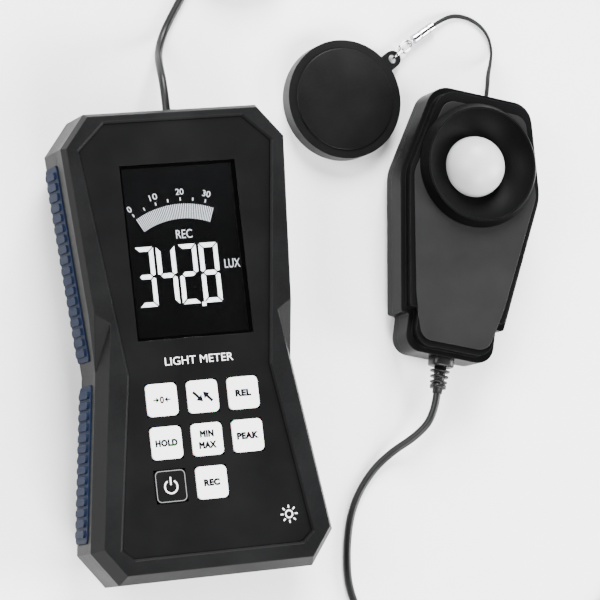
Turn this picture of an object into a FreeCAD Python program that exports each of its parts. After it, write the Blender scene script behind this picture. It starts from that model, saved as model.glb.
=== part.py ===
import FreeCAD, Part
import math
import os
import re
import Sketcher

# Handheld light meter with a corded sensor head, its cap on a lanyard, and the cable between them.
# Millimetres, +Z up. Everything lies on the plane Z = 0, front faces up.
# X runs across the meter and Y along it, towards the display end.
# The origin is on the meter's back face, at the middle of its outline.

os.makedirs("parts", exist_ok=True)
V = FreeCAD.Vector
doc = FreeCAD.newDocument("light_meter")

DIMENSIONS = {
    # Meter outline, right half, from the display end down: corner points of the side walls.
    "rim_top_x": 31.5, "rim_top_y": 80.7,
    "rim_shoulder_x": 40.8, "rim_shoulder_y": 69.3,
    "rim_waist_x": 35.7, "rim_waist_y": -7.9,
    "rim_hip_x": 44.1, "rim_hip_y": -68.8,
    "rim_base_x": 35.2, "rim_base_y": -80.7,
    # Heights of the meter's case.
    "belly_z": 13.5, "split_z": 27.0, "lower_edge_z": 29.5, "upper_edge_z": 33.0, "bezel_z": 36.0,
    "belly_inset": 7.0, "upper_bevel": 1.25, "lower_bevel": 3.0,
    "facet_tip_y": 8.5, "facet_break_y": 12.0,
    "wall": 2.2, "back_wall": 2.4, "inner_ledge_z": 28.4,
    # Front label, right half, and the recess that it lies in.
    "label_top_x": 25.1, "label_top_y": 76.8,
    "label_shoulder_x": 34.9, "label_shoulder_y": 67.8,
    "label_waist_x": 25.5, "label_waist_y": -10.2,
    "label_hip_x": 34.4, "label_hip_y": -68.8,
    "label_base_x": 30.4, "label_base_y": -72.2,
    "deck_low_z": 32.3, "deck_z": 34.5, "label_thick": 0.5, "label_gap": 0.15,
    "recess_bevel": 0.8, "deck_reach": 2.0,
    # Display window and the display stack.
    "window_wide": 42.0, "window_long": 60.5, "window_y": 31.65, "window_gap": 0.1,
    "window_thick": 1.5, "window_low_z": 33.2, "window_ledge": 1.0, "window_corner": 0.6,
    "glass_wide": 44.0, "glass_long": 62.5, "glass_thick": 2.8, "glass_low_z": 29.4,
    "holder_wide": 48.0, "holder_long": 66.0, "holder_wall": 1.9, "holder_end_wall": 1.5, "holder_tall": 4.2,
    "backlight_wide": 42.0, "backlight_long": 60.0, "backlight_thick": 1.2,
    # Keys.
    "key_pitch": 14.8, "key_size": 11.2, "key_corner": 1.8, "key_gap": 0.2, "key_row_y": -34.0,
    "key_low_z": 30.6, "key_top_z": 35.25, "key_flange": 13.0, "key_flange_thick": 0.8,
    "dome_radius": 2.5, "dome_tall": 1.8,
    # Circuit board.
    "pcb_wide": 62.0, "pcb_long": 120.0, "pcb_low_z": 26.4, "pcb_thick": 1.6, "pcb_corner": 3.0,
    "post_radius": 2.2, "post_x": 27.0, "post_upper_y": 52.0, "post_lower_y": -10.0,
    # Battery bay, cells, contacts and door.
    "bay_half": 18.0, "bay_wall": 1.2, "bay_top_y": -18.2, "bay_long": 52.6, "bay_top_z": 14.7,
    "cell_radius": 5.25, "cell_long": 43.5, "cell_pitch": 11.2, "cell_z": 8.5, "cell_low_y": -66.2,
    "nub_radius": 2.6, "nub_long": 1.0, "contact_thick": 0.5, "contact_wide": 33.0,
    "contact_tall": 9.0, "contact_low_z": 4.0,
    "door_half": 18.4, "door_top_y": -16.3, "door_long": 57.1, "door_low_z": 0.1, "door_thick": 2.2,
    "door_gap": 0.3, "tongue": 1.2, "tongue_low_z": 0.9, "tongue_thick": 0.6, "tongue_gap": 0.15,
    "door_run": 20.0, "thumb_wide": 14.0, "thumb_groove": 0.9, "thumb_deep": 0.5, "thumb_y": -60.0,
    "thumb_reach": 8.0, "thumb_count": 5,
    # Housing screws and their bosses.
    "screw_upper_x": 30.0, "screw_upper_y": 68.5, "screw_lower_x": 31.0, "screw_lower_y": -68.0,
    "boss_radius": 4.6, "boss_seat_z": 15.0, "counterbore": 3.0, "screw_hole": 1.6,
    "screw_shank": 1.4, "screw_tip_z": 31.0, "screw_head": 2.7, "screw_head_tall": 2.0,
    "front_boss": 3.5, "front_hole": 1.45,
    # Tripod insert in the meter's back.
    "tripod_y": 25.0, "tripod_boss": 7.5, "tripod_boss_top": 11.3, "insert_radius": 5.0,
    "insert_gap": 0.02, "insert_low_z": 0.3, "insert_tall": 9.0, "tripod_bore": 2.55, "tripod_deep": 8.0,
    # Ribbed side grips.
    "grip_tall": 13.0, "grip_mid_z": 19.9, "grip_sunk": 0.8, "grip_proud": 0.5, "grip_corner": 1.6,
    "grip_gap": 0.05, "upper_grip_long": 68.0, "lower_grip_long": 54.0,
    "rib_wide": 2.5, "rib_reach": 4.3, "rib_bend": 1.4, "rib_thick": 0.8, "rib_margin": 3.2,
    "upper_ribs": 18, "lower_ribs": 14,
    # Cable and where it leaves the meter.
    "cable": 2.8, "cable_exit_x": 3.0, "cable_exit_z": 21.0,
    "grommet_neck": 3.0, "grommet_flange": 4.0, "grommet_lip": 1.3,
    # Sensor head, in its own frame: origin under the dome, +Y away from the cable.
    "head_x": 118.5, "head_y": 55.5, "head_turn": -15.0,
    "head_top_x": 19.0, "head_top_y": 27.0, "head_mid_x": 27.5, "head_mid_y": -6.0,
    "head_low_x": 20.0, "head_low_y": -57.0, "neck_x": 17.0, "neck_y": -70.0,
    "head_split_z": 8.0, "head_lip_z": 17.0, "head_deck_z": 21.2, "head_wall": 2.0,
    "head_corner": 8.0, "head_waist_corner": 16.0, "head_shoulder_corner": 1.2, "head_notch_corner": 0.8,
    "neck_corner": 6.0,
    "head_back_inset": 2.6, "head_back_z": 3.5, "tier_inset": 1.9, "head_ceiling_z": 18.6,
    "plate_top_x": 15.6, "plate_top_y": 21.3, "plate_mid_x": 24.0, "plate_mid_y": -7.0,
    "plate_low_x": 17.2, "plate_low_y": -50.0, "plate_foot_x": 13.0, "plate_foot_y": -66.0,
    "plate_thick": 0.8, "plate_corner": 5.0, "plate_waist_corner": 10.0,
    "collar_radius": 20.75, "collar_base": 22.6, "collar_low_z": 16.0, "collar_rim_z": 26.0,
    "collar_rim_flat": 0.5, "collar_skirt_z": 22.0, "collar_gap": 0.15, "cup_bend": 19.0,
    "cup_floor_z": 18.6, "cup_floor_radius": 11.6,
    "dome_ball": 11.0, "dome_centre_z": 18.3, "dome_shell": 1.5, "dome_inside": 9.5, "dome_skirt_z": 14.4,
    "filter_radius": 8.0, "filter_low_z": 12.9, "filter_thick": 1.5,
    "diode_radius": 4.0, "diode_tall": 2.5, "head_pcb_wide": 30.0, "head_pcb_long": 58.0,
    "head_pcb_low_z": 8.8, "head_pcb_thick": 1.6, "head_pcb_y": -18.0, "head_pcb_corner": 2.2,
    "head_post": 2.0, "head_post_x": 11.0, "head_post_upper_y": -3.5, "head_post_lower_y": -32.5,
    "head_screw_x": 14.0, "head_screw_upper_y": 19.0, "head_screw_lower_y": -52.0,
    "head_boss": 3.4, "head_seat_z": 4.0, "head_screw_tip_z": 16.5,
    "head_tripod_y": -34.0, "head_tripod_boss": 6.6, "head_insert_tall": 6.5, "head_tripod_deep": 5.5,
    "relief_z": 11.0, "relief_block": 4.4, "relief_block_long": 3.0, "relief_core": 2.3,
    "relief_fin": 3.6, "relief_fin_step": 0.2, "relief_fin_thick": 0.9, "relief_fin_pitch": 2.0,
    "relief_fins": 4, "relief_long": 12.7, "relief_plug": 2.2, "relief_plug_gap": 0.1,
    "lanyard_x": 4.0, "lanyard_z": 11.0, "lanyard_hole": 1.0, "toggle_radius": 2.2, "toggle_long": 3.0,
    # Cap, lying mouth down, and its lanyard.
    "cap_x": 76.3, "cap_y": 84.7, "cap_turn": 33.0, "cap_radius": 21.6, "cap_bore": 20.9,
    "cap_depth": 8.0, "cap_edge_z": 6.4, "cap_crown_radius": 18.4, "cap_step": 0.5, "cap_roof": 1.6,
    "cap_dome_bend": 122.8, "cap_crown_flat": 2.0, "eyelet_reach": 26.0, "eyelet_radius": 3.1,
    "eyelet_hole": 1.6, "eyelet_thick": 1.6, "chain_z": 2.1,
    "link_bend": 1.6, "link_straight": 0.9, "link_wire": 0.45, "chain_turn": 37.5,
    "eyelet_slack": 0.7, "link_spacing": 4.0, "eye_spacing": 2.75, "eye_radius": 1.3,
    "crimp_turn": 29.5, "crimp_start": 1.5, "crimp_long": 9.5, "crimp_radius": 1.7,
    "crimp_groove": 0.35, "crimp_groove_wide": 1.1, "crimp_groove_inset": 2.3, "lanyard": 1.6,
    # Put-away coil of cable and its tie.
    "coil_x": 43.8, "coil_y": 150.0, "coil_low_z": 0.7, "coil_mean": 16.8, "coil_columns": 2,
    "coil_layers": 4,
    "tie_thick": 0.6, "tie_gap": 0.08, "tie_arc": 14.0, "tie_turn": 299.0,
}

# Routes of the free cords, hand-laid corner points. Between corners they run straight.
METER_CABLE_ROUTE = [
    (3.0, 82.0, 21.0), (3.0, 91.0, 21.0), (4.7, 99.8, 13.6), (7.6, 105.5, 5.6), (11.4, 112.4, 1.4),
    (16.0, 119.6, 1.4), (21.0, 126.8, 1.5), (24.8, 134.4, 1.8), (25.6, 142.0, 2.1),
]
SENSOR_CABLE_ROUTE = [
    (57.2, 163.3, 10.4), (66.0, 158.0, 8.6), (76.6, 151.8, 4.4), (89.0, 146.6, 1.4), (108.0, 141.2, 1.4),
    (131.0, 138.0, 1.4), (156.0, 134.6, 1.4), (178.4, 126.6, 1.4), (192.6, 109.6, 1.4), (196.0, 84.0, 1.4),
    (193.2, 54.0, 1.4), (188.8, 23.0, 1.4), (183.6, -8.0, 1.4), (178.0, -40.0, 1.4), (173.2, -70.0, 1.4),
    (167.6, -97.4, 1.4), (152.0, -113.0, 1.4), (128.0, -117.2, 1.4), (103.0, -116.8, 1.4),
    (80.0, -113.8, 1.4), (64.6, -105.8, 1.4), (58.6, -92.0, 1.4), (59.4, -76.2, 1.4),
    (63.4, -61.2, 1.4), (71.8, -50.0, 1.4), (80.4, -43.4, 2.8), (88.9, -38.8, 7.0),
    (94.921, -32.497, 11.0), (97.095, -24.385, 11.0),
]
LANYARD_ROUTE = [
    (128.834, 78.613, 11.0), (130.646, 85.374, 11.0), (133.4, 90.6, 6.6), (137.0, 95.2, 1.8),
    (138.8, 100.8, 0.8), (137.6, 106.8, 0.8), (133.4, 111.4, 0.8), (127.4, 113.9, 0.9),
    (121.2, 113.4, 1.7), (115.5, 110.33, 2.1),
]


def fill_sheet():
    """Spreadsheet of the driving dimensions, one aliased cell each."""
    table = doc.addObject("Spreadsheet::Sheet", "dims")
    for row, (alias, value) in enumerate(DIMENSIONS.items(), start=1):
        table.set(f"A{row}", alias)
        table.set(f"B{row}", str(value))
        table.setAlias(f"B{row}", alias)
    return table


sheet = fill_sheet()
doc.recompute()


def size(alias):
    """The value in a dimension's cell."""
    return float(sheet.get(alias))


def number(formula):
    """Value of a formula made of terms such as 2*wall or cable, added or subtracted."""
    total = 0.0
    sign = 1.0
    for token in str(formula).split():
        if token in ("+", "-"):
            sign = 1.0 if token == "+" else -1.0
            continue
        product = sign
        for factor in token.split("*"):
            if factor.startswith("-"):
                product = -product
                factor = factor[1:]
            product *= size(factor) if factor in DIMENSIONS else float(factor)
        total += product
        sign = 1.0
    return total


def cell(formula):
    """The same formula as the document's expression engine reads it."""
    return re.sub(r"[a-z]\w*", lambda word: "dims." + word.group(), str(formula))


def bind(thing, formulas):
    """Tie properties of a document object to formulas."""
    for field, formula in formulas.items():
        thing.setExpression(field, cell(formula))
    return thing


def block(name, corner, extent):
    """Part::Box from its lowest corner and its extents, given as formulas."""
    box = doc.addObject("Part::Box", name)
    bind(box, dict(zip(("Length", "Width", "Height"), extent)))
    return bind(box, {f"Placement.Base.{axis}": place for axis, place in zip("xyz", corner)})


def centred_block(name, middle, extent, low):
    """Part::Box centred on a point of the XY plane, standing on height low. Extents are single terms."""
    corner = [f"{place} - 0.5*{wide}" for place, wide in zip(middle, extent)]
    return block(name, (*corner, low), extent)


def rod(name, foot, radius, tall, turn=None):
    """Part::Cylinder standing on its foot, or turned to lie along another axis."""
    cylinder = doc.addObject("Part::Cylinder", name)
    if turn:
        cylinder.Placement.Rotation = turn
    bind(cylinder, {"Radius": radius, "Height": tall})
    return bind(cylinder, {f"Placement.Base.{axis}": place for axis, place in zip("xyz", foot)})


def union(name, pieces):
    """Part::MultiFuse of several objects."""
    fused = doc.addObject("Part::MultiFuse", name)
    fused.Shapes = pieces
    return fused


def group(name, pieces):
    """Part::Compound of separate solids that share one node."""
    compound = doc.addObject("Part::Compound", name)
    compound.Links = pieces
    return compound


def difference(name, base, tools):
    """Part::Cut of one object by one or more others."""
    cut = doc.addObject("Part::Cut", name)
    cut.Base = base
    cut.Tool = tools[0] if len(tools) == 1 else union(name + "_tools", tools)
    return cut


def solid_feature(name, shape):
    """Part::Feature holding a shape worked out here from the sheet."""
    feature = doc.addObject("Part::Feature", name)
    feature.Shape = shape
    return feature


# ---------------------------------------------------------------- sketches and bodies

LEFTWARD = FreeCAD.Rotation(V(1, 0, 0), -90)   # turns a rod's axis from +Z to +Y
TOWARDS_CABLE = FreeCAD.Rotation(V(1, 0, 0), 90)   # turns a rod's axis from +Z to -Y


def origin_feature(body, role):
    return next(feature for feature in body.Origin.OriginFeatures if feature.Role == role)


def new_sketch(body, role, lift):
    """Sketch on one of the body's own origin planes, moved along the plane's normal."""
    sketch = body.newObject("Sketcher::SketchObject", f"{body.Name}_sketch")
    sketch.AttachmentSupport = [(origin_feature(body, role), "")]
    sketch.MapMode = "FlatFace"
    return bind(sketch, {"AttachmentOffset.Base.z": lift})


def arc_between(start, end, radius):
    """Arc from start to end: counter-clockwise for a positive radius, clockwise for a negative one."""
    chord = end - start
    side = V(-chord.y, chord.x, 0).normalize() * math.copysign(1, radius)
    centre = (start + end) * 0.5 + side * math.sqrt(radius ** 2 - (chord.Length / 2) ** 2)
    first, last = (start, end) if radius > 0 else (end, start)
    angles = [math.atan2(point.y - centre.y, point.x - centre.x) for point in (first, last)]
    return Part.ArcOfCircle(Part.Circle(centre, V(0, 0, 1), abs(radius)), *angles)


def draw_outline(sketch, corners):
    """Closed outline with every corner pinned: (x, y), or (x, y, radius) where an arc starts."""
    points = [V(number(corner[0]), number(corner[1]), 0) for corner in corners]
    base = sketch.GeometryCount
    starts = []
    for index, corner in enumerate(corners):
        start, end = points[index], points[(index + 1) % len(points)]
        if len(corner) == 2:
            sketch.addGeometry(Part.LineSegment(start, end))
            starts.append(1)
        else:
            sketch.addGeometry(arc_between(start, end, number(corner[2])))
            starts.append(1 if number(corner[2]) > 0 else 2)
    for index, corner in enumerate(corners):
        here, after = base + index, base + (index + 1) % len(corners)
        joint = (here, 3 - starts[index], after, starts[(index + 1) % len(corners)])
        sketch.addConstraint(Sketcher.Constraint("Coincident", *joint))
        pins = [("DistanceX", corner[0], points[index].x), ("DistanceY", corner[1], points[index].y)]
        for kind, formula, value in pins:
            pin = sketch.addConstraint(Sketcher.Constraint(kind, here, starts[index], value))
            sketch.renameConstraint(pin, f"{kind}{here}")
            sketch.setExpression(f"Constraints.{kind}{here}", cell(formula))
        if len(corner) == 3:
            radius = corner[2].lstrip("-")
            pin = sketch.addConstraint(Sketcher.Constraint("Radius", here, number(radius)))
            sketch.renameConstraint(pin, f"Radius{here}")
            sketch.setExpression(f"Constraints.Radius{here}", cell(radius))


def box_corners(middle, extent):
    """Corners of a rectangle centred on a point, as formulas."""
    (x, y), (wide, deep) = middle, extent
    signs = ((-1, -1), (1, -1), (1, 1), (-1, 1))
    return [(f"{x} + {0.5 * across}*{wide}", f"{y} + {0.5 * along}*{deep}") for across, along in signs]


def mirrored(half):
    """Full counter-clockwise outline from the right half's corners, listed from the top down."""
    left = [(f"-1*{x}", y) for x, y in half]
    return left + half[::-1]


def new_body(name):
    return doc.addObject("PartDesign::Body", name)


def pad(body, corners, low, tall, role="XY_Plane"):
    """Pad of a closed outline, from height low."""
    sketch = new_sketch(body, role, low)
    draw_outline(sketch, corners)
    feature = body.newObject("PartDesign::Pad", f"{body.Name}_pad")
    feature.Profile = sketch
    return bind(feature, {"Length": tall})


def round_edges(body, feature, radius, chosen):
    """Fillet the edges that a test chooses on the body's last feature."""
    doc.recompute()
    names = [f"Edge{index}" for index, edge in enumerate(feature.Shape.Edges, start=1) if chosen(edge)]
    fillet = body.newObject("PartDesign::Fillet", f"{body.Name}_fillet")
    fillet.Base = (feature, names)
    return bind(fillet, {"Radius": radius})


def runs_along(axis):
    """Test for straight edges parallel to an axis."""
    def test(edge):
        if not isinstance(edge.Curve, Part.Line):
            return False
        along = edge.tangentAt(edge.FirstParameter).dot(axis)
        return math.isclose(abs(along), 1, abs_tol=1e-6)
    return test


def turned(name, profile):
    """Body revolved about Z from a closed profile of (radius, height) corners."""
    body = new_body(name)
    sketch = new_sketch(body, "XZ_Plane", "0")
    draw_outline(sketch, profile)
    revolution = body.newObject("PartDesign::Revolution", f"{name}_revolution")
    revolution.Profile = sketch
    revolution.ReferenceAxis = (sketch, ["V_Axis"])
    revolution.Angle = 360
    return body


# ---------------------------------------------------------------- flat outlines worked out here

def half_outline(prefix, stations):
    return [(f"{prefix}_{station}_x", f"{prefix}_{station}_y") for station in stations]


CASE_STATIONS = ("top", "shoulder", "waist", "hip", "base")
RIM = mirrored(half_outline("rim", CASE_STATIONS))
LABEL = mirrored(half_outline("label", CASE_STATIONS))


def corner_points(corners):
    return [V(number(x), number(y), 0) for x, y in corners]


def inset(points, distance):
    """Counter-clockwise outline moved inwards by a distance, or outwards by a negative one."""
    moved = []
    for index, point in enumerate(points):
        before = (point - points[index - 1]).normalize()
        after = (points[(index + 1) % len(points)] - point).normalize()
        inward = V(-before.y - after.y, before.x + after.x, 0)
        moved.append(point + inward * (distance / (1 + before.dot(after))))
    return moved


def lifted(points, height):
    return [V(point.x, point.y, height) for point in points]


def solid_from_faces(loops):
    """Closed solid from the corner loops of its flat faces."""
    faces = [Part.Face(Part.makePolygon(loop + loop[:1])) for loop in loops]
    solid = Part.makeSolid(Part.makeShell(faces))
    if solid.Volume < 0:
        solid.reverse()
    return solid


def prismoid(lower, upper):
    """Solid between two outlines with as many corners as each other."""
    count = len(lower)
    sides = [
        [lower[index], lower[(index + 1) % count], upper[(index + 1) % count], upper[index]]
        for index in range(count)
    ]
    return solid_from_faces([lower, upper] + sides)


def point_along(start, end, height):
    """Point of the line through two outline corners where Y has a given value."""
    share = (height - start.y) / (end.y - start.y)
    return start + (end - start) * share


# ---------------------------------------------------------------- meter case

def front_block():
    """Faceted front: a narrow bevel above the waist, a wide one below that ends in a point."""
    rim = corner_points(RIM)
    narrow, wide = inset(rim, size("upper_bevel")), inset(rim, size("lower_bevel"))
    # The mirrored outline lists the left side from the top down: top, shoulder, waist, hip, base.
    left_rim, left_narrow, left_wide = rim[:5], narrow[:5], wide[:5]
    tip = point_along(left_wide[2], left_wide[3], size("facet_tip_y"))
    break_top = point_along(left_narrow[1], left_narrow[2], size("facet_break_y"))
    break_rim = point_along(left_rim[1], left_rim[2], size("facet_break_y"))

    def at(point, alias):
        return V(point.x, point.y, size(alias))

    low = [at(point, "split_z") for point in left_rim]
    top, shoulder = at(left_rim[0], "upper_edge_z"), at(left_rim[1], "upper_edge_z")
    waist, hip, base = [at(point, "lower_edge_z") for point in left_rim[2:]]
    ridge_top, ridge_shoulder = at(left_narrow[0], "bezel_z"), at(left_narrow[1], "bezel_z")
    ridge_hip, ridge_base = at(left_wide[3], "bezel_z"), at(left_wide[4], "bezel_z")
    ridge_break, ridge_tip = at(break_top, "bezel_z"), at(tip, "bezel_z")
    edge_break = at(break_rim, "upper_edge_z")

    left_faces = [
        [ridge_top, ridge_shoulder, shoulder, top],
        [ridge_shoulder, ridge_break, edge_break, shoulder],
        [ridge_break, ridge_tip, waist],
        [ridge_break, waist, edge_break],
        [ridge_tip, ridge_hip, hip, waist],
        [ridge_hip, ridge_base, base, hip],
        [top, shoulder, low[1], low[0]],
        [shoulder, edge_break, waist, low[2], low[1]],
        [waist, hip, low[3], low[2]],
        [hip, base, low[4], low[3]],
    ]

    def flip(loop):
        return [V(-point.x, point.y, point.z) for point in reversed(loop)]

    ridge_left = [ridge_top, ridge_shoulder, ridge_break, ridge_tip, ridge_hip, ridge_base]
    crossing_faces = [
        ridge_left + flip(ridge_left),
        low + flip(low),
        [ridge_top, top, *flip([ridge_top, top])],
        [top, low[0], *flip([top, low[0]])],
        [ridge_base, base, *flip([ridge_base, base])],
        [base, low[4], *flip([base, low[4]])],
    ]
    return solid_from_faces(left_faces + [flip(loop) for loop in left_faces] + crossing_faces)


KEYS = {
    # name: column and row from the middle key
    "key_zero": (-1, 1), "key_range": (0, 1), "key_rel": (1, 1),
    "key_hold": (-1, 0), "key_min_max": (0, 0), "key_peak": (1, 0),
    "key_power": (-1, -1), "key_rec": (0, -1),
}
SCREW_PLACES = [
    (f"{sign}*screw_{end}_x", f"screw_{end}_y") for end in ("upper", "lower") for sign in (-1, 1)
]


def key_place(name):
    column, row = KEYS[name]
    return f"{column}*key_pitch", f"key_row_y + {row}*key_pitch"


def front_openings():
    """Tools that open the deck and the label: one for the window, one per key."""
    opening = "window_wide + 2*window_gap"
    window = block(
        "window_opening",
        ("-0.5*window_wide - window_gap", "window_y - 0.5*window_long - window_gap", "window_low_z"),
        (opening, "window_long + 2*window_gap", "bezel_z - window_low_z"),
    )
    keys = [
        block(
            f"{name}_opening",
            (f"{x} - 0.5*key_size - key_gap", f"{y} - 0.5*key_size - key_gap", "inner_ledge_z"),
            ("key_size + 2*key_gap", "key_size + 2*key_gap", "bezel_z - inner_ledge_z"),
        )
        for name, (x, y) in ((name, key_place(name)) for name in KEYS)
    ]
    return [window] + keys


def make_front_shell(openings):
    outside = solid_feature("front_block", front_block())
    rim, label = corner_points(RIM), corner_points(LABEL)
    inner_rim, inner_deck = inset(rim, size("wall")), inset(label, -size("deck_reach"))
    split, ledge, deck_low = size("split_z"), size("inner_ledge_z"), size("deck_low_z")
    skirt = prismoid(lifted(inner_rim, split), lifted(inner_rim, ledge))
    hollow = prismoid(lifted(inner_deck, split), lifted(inner_deck, deck_low))
    bevel, bezel = size("recess_bevel"), size("bezel_z")
    recess = prismoid(lifted(label, size("deck_z")), lifted(label, bezel - bevel))
    flare = prismoid(lifted(label, bezel - bevel), lifted(inset(label, -bevel), bezel))
    hollows = [
        solid_feature(name, shape)
        for name, shape in (("skirt", skirt), ("hollow", hollow), ("recess", recess), ("flare", flare))
    ]
    display_hole = block(
        "display_hole",
        ("-0.5*window_wide + window_ledge", "window_y - 0.5*window_long + window_ledge", "deck_low_z"),
        ("window_wide - 2*window_ledge", "window_long - 2*window_ledge", "window_low_z - deck_low_z"),
    )
    carved = difference("front_carved", outside, hollows + openings + [display_hole])
    bosses = [
        rod(f"front_boss_{index}", (x, y, "split_z"), "front_boss", "deck_low_z - split_z")
        for index, (x, y) in enumerate(SCREW_PLACES)
    ]
    holes = [
        rod(f"front_hole_{index}", (x, y, "split_z"), "front_hole", "screw_tip_z - split_z")
        for index, (x, y) in enumerate(SCREW_PLACES)
    ]
    return difference("front_shell", union("front_bossed", [carved] + bosses), holes)


def case_back():
    """Back half of the case: straight walls above the belly line, drawn in towards the back below it."""
    rim, wall = corner_points(RIM), size("wall")
    belly, split, belly_inset = size("belly_z"), size("split_z"), size("belly_inset")
    floor = size("back_wall")
    foot = inset(rim, belly_inset)
    outside = prismoid(lifted(foot, 0), lifted(rim, belly)).fuse(
        prismoid(lifted(rim, belly), lifted(rim, split)))
    inner_rim = inset(rim, wall)
    inner_floor = inset(rim, wall + belly_inset * (belly - floor) / belly)
    inside = prismoid(lifted(inner_floor, floor), lifted(inner_rim, belly)).fuse(
        prismoid(lifted(inner_rim, belly), lifted(inner_rim, split)))
    return outside.removeSplitter(), inside.removeSplitter()


WALLS = {
    # grip: wall's upper and lower corner stations, the grip's length and how many ribs it has
    "upper": ("shoulder", "waist", "upper_grip_long", "upper_ribs"),
    "lower": ("waist", "hip", "lower_grip_long", "lower_ribs"),
}


def wall_placement(level, side):
    """Frame on a side wall: X out of the wall, Y along it, Z up. Side is 1 for right, -1 for left."""
    above, below = WALLS[level][:2]
    upper = V(side * size(f"rim_{above}_x"), size(f"rim_{above}_y"), 0)
    lower = V(side * size(f"rim_{below}_x"), size(f"rim_{below}_y"), 0)
    along = upper - lower
    outward = V(along.y, -along.x, 0) * side
    turn = math.degrees(math.atan2(outward.y, outward.x))
    return FreeCAD.Placement((upper + lower) * 0.5, FreeCAD.Rotation(V(0, 0, 1), turn))


def grip_recess(level, side):
    """Shallow pocket in a side wall that the grip sits in."""
    long_side = size(WALLS[level][2]) + 2 * size("grip_gap")
    tall, sunk = size("grip_tall") + 2 * size("grip_gap"), size("grip_sunk")
    reach = sunk + size("rib_thick")
    recess = Part.makeBox(reach, long_side, tall, V(-sunk, -long_side / 2, size("grip_mid_z") - tall / 2))
    recess.Placement = wall_placement(level, side)
    return solid_feature(f"recess_{level}_{side + 1}", recess)


def make_rear_shell():
    outside, inside = case_back()
    rear_block, rear_room = solid_feature("rear_block", outside), solid_feature("rear_room", inside)
    hollow = difference("rear_hollow", rear_block, [rear_room])
    bosses = [
        rod(f"rear_boss_{index}", (x, y, "0"), "boss_radius", "split_z")
        for index, (x, y) in enumerate(SCREW_PLACES)
    ]
    posts = [
        rod(f"pcb_post_{end}_{sign}", (f"{sign}*post_x", f"post_{end}_y", "0"), "post_radius", "pcb_low_z")
        for end in ("upper", "lower") for sign in (-1, 1)
    ]
    bay = block(
        "bay_block",
        ("-1*bay_half - bay_wall", "bay_top_y - bay_long - bay_wall", "0"),
        ("2*bay_half + 2*bay_wall", "bay_long + 2*bay_wall", "bay_top_z + bay_wall"),
    )
    tripod = rod("tripod_boss", ("0", "tripod_y", "0"), "tripod_boss", "tripod_boss_top")
    # Bosses and posts start inside the back's thickness; what would stand outside it is trimmed off.
    raised = union("rear_raised", bosses + posts + [bay, tripod])
    trimmed = doc.addObject("Part::MultiCommon", "rear_trimmed")
    trimmed.Shapes = [raised, solid_feature("rear_envelope", outside)]
    body = union("rear_body", [hollow, trimmed])

    counterbores = [
        rod(f"counterbore_{index}", (x, y, "0"), "counterbore", "boss_seat_z")
        for index, (x, y) in enumerate(SCREW_PLACES)
    ]
    screw_holes = [
        rod(f"screw_hole_{index}", (x, y, "boss_seat_z"), "screw_hole", "split_z - boss_seat_z")
        for index, (x, y) in enumerate(SCREW_PLACES)
    ]
    bay_room = block(
        "bay_room", ("-1*bay_half", "bay_top_y - bay_long", "0"), ("2*bay_half", "bay_long", "bay_top_z"))
    path_low_y = "door_top_y + door_gap - door_long - door_run"
    door_path = block(
        "door_path",
        ("-1*door_half - door_gap", path_low_y, "0"),
        ("2*door_half + 2*door_gap", "door_long + door_run", "door_low_z + door_thick + tongue_gap"),
    )
    rails = block(
        "door_rails",
        ("-1*door_half - tongue - door_gap", path_low_y, "tongue_low_z - tongue_gap"),
        ("2*door_half + 2*tongue + 2*door_gap", "door_long + door_run", "tongue_thick + 2*tongue_gap"),
    )
    insert_hole = rod(
        "insert_hole", ("0", "tripod_y", "0"), "insert_radius + insert_gap", "insert_low_z + insert_tall")
    cable_hole = rod(
        "cable_hole", ("cable_exit_x", "rim_top_y - 2*wall", "cable_exit_z"),
        "grommet_neck + insert_gap", "3*wall", LEFTWARD)
    recesses = [grip_recess(level, side) for level in WALLS for side in (-1, 1)]
    tools = counterbores + screw_holes + [bay_room, door_path, rails, insert_hole, cable_hole] + recesses
    return difference("rear_shell", body, tools)


def make_side_grip(label, level, side):
    """Soft insert with a row of raised ribs across it."""
    long_side, ribs = WALLS[level][2:]
    body = new_body(label)
    base = pad(
        body, box_corners(("0", "grip_mid_z"), (long_side, "grip_tall")), "-1*grip_sunk",
        "grip_sunk + grip_proud", "YZ_Plane")
    round_edges(body, base, "grip_corner", runs_along(V(1, 0, 0)))
    first = f"-0.5*{long_side} + rib_margin"
    near, far = f"{first} - 0.5*rib_wide", f"{first} + 0.5*rib_wide"
    low, high = "grip_mid_z - rib_reach", "grip_mid_z + rib_reach"
    rib_sketch = new_sketch(body, "YZ_Plane", "grip_proud")
    draw_outline(rib_sketch, [(far, low), (far, high, "rib_bend"), (near, high), (near, low, "rib_bend")])
    rib = body.newObject("PartDesign::Pad", f"{label}_rib")
    rib.Profile = rib_sketch
    bind(rib, {"Length": "rib_thick"})
    doc.recompute()
    pattern = body.newObject("PartDesign::LinearPattern", f"{label}_ribs")
    pattern.Originals = [rib]
    pattern.Direction = (origin_feature(body, "Y_Axis"), [""])
    bind(pattern, {"Length": f"{long_side} - 2*rib_margin", "Occurrences": ribs})
    body.Tip = pattern
    body.Placement = wall_placement(level, side)
    return body


# ---------------------------------------------------------------- meter front and electronics

def make_front_overlay(openings):
    """Thin label in the recess, open over the window and the keys."""
    label = inset(corner_points(LABEL), size("label_gap"))
    deck, thick = size("deck_z"), size("label_thick")
    blank = solid_feature("label_blank", prismoid(lifted(label, deck), lifted(label, deck + thick)))
    return difference("front_overlay", blank, openings)


def make_plate(label, middle, extent, low, thick, corner=None):
    """Flat rectangular piece, its upright edges rounded where a corner radius is given."""
    body = new_body(label)
    slab = pad(body, box_corners(middle, extent), low, thick)
    if corner:
        round_edges(body, slab, corner, runs_along(V(0, 0, 1)))
    return body


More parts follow.
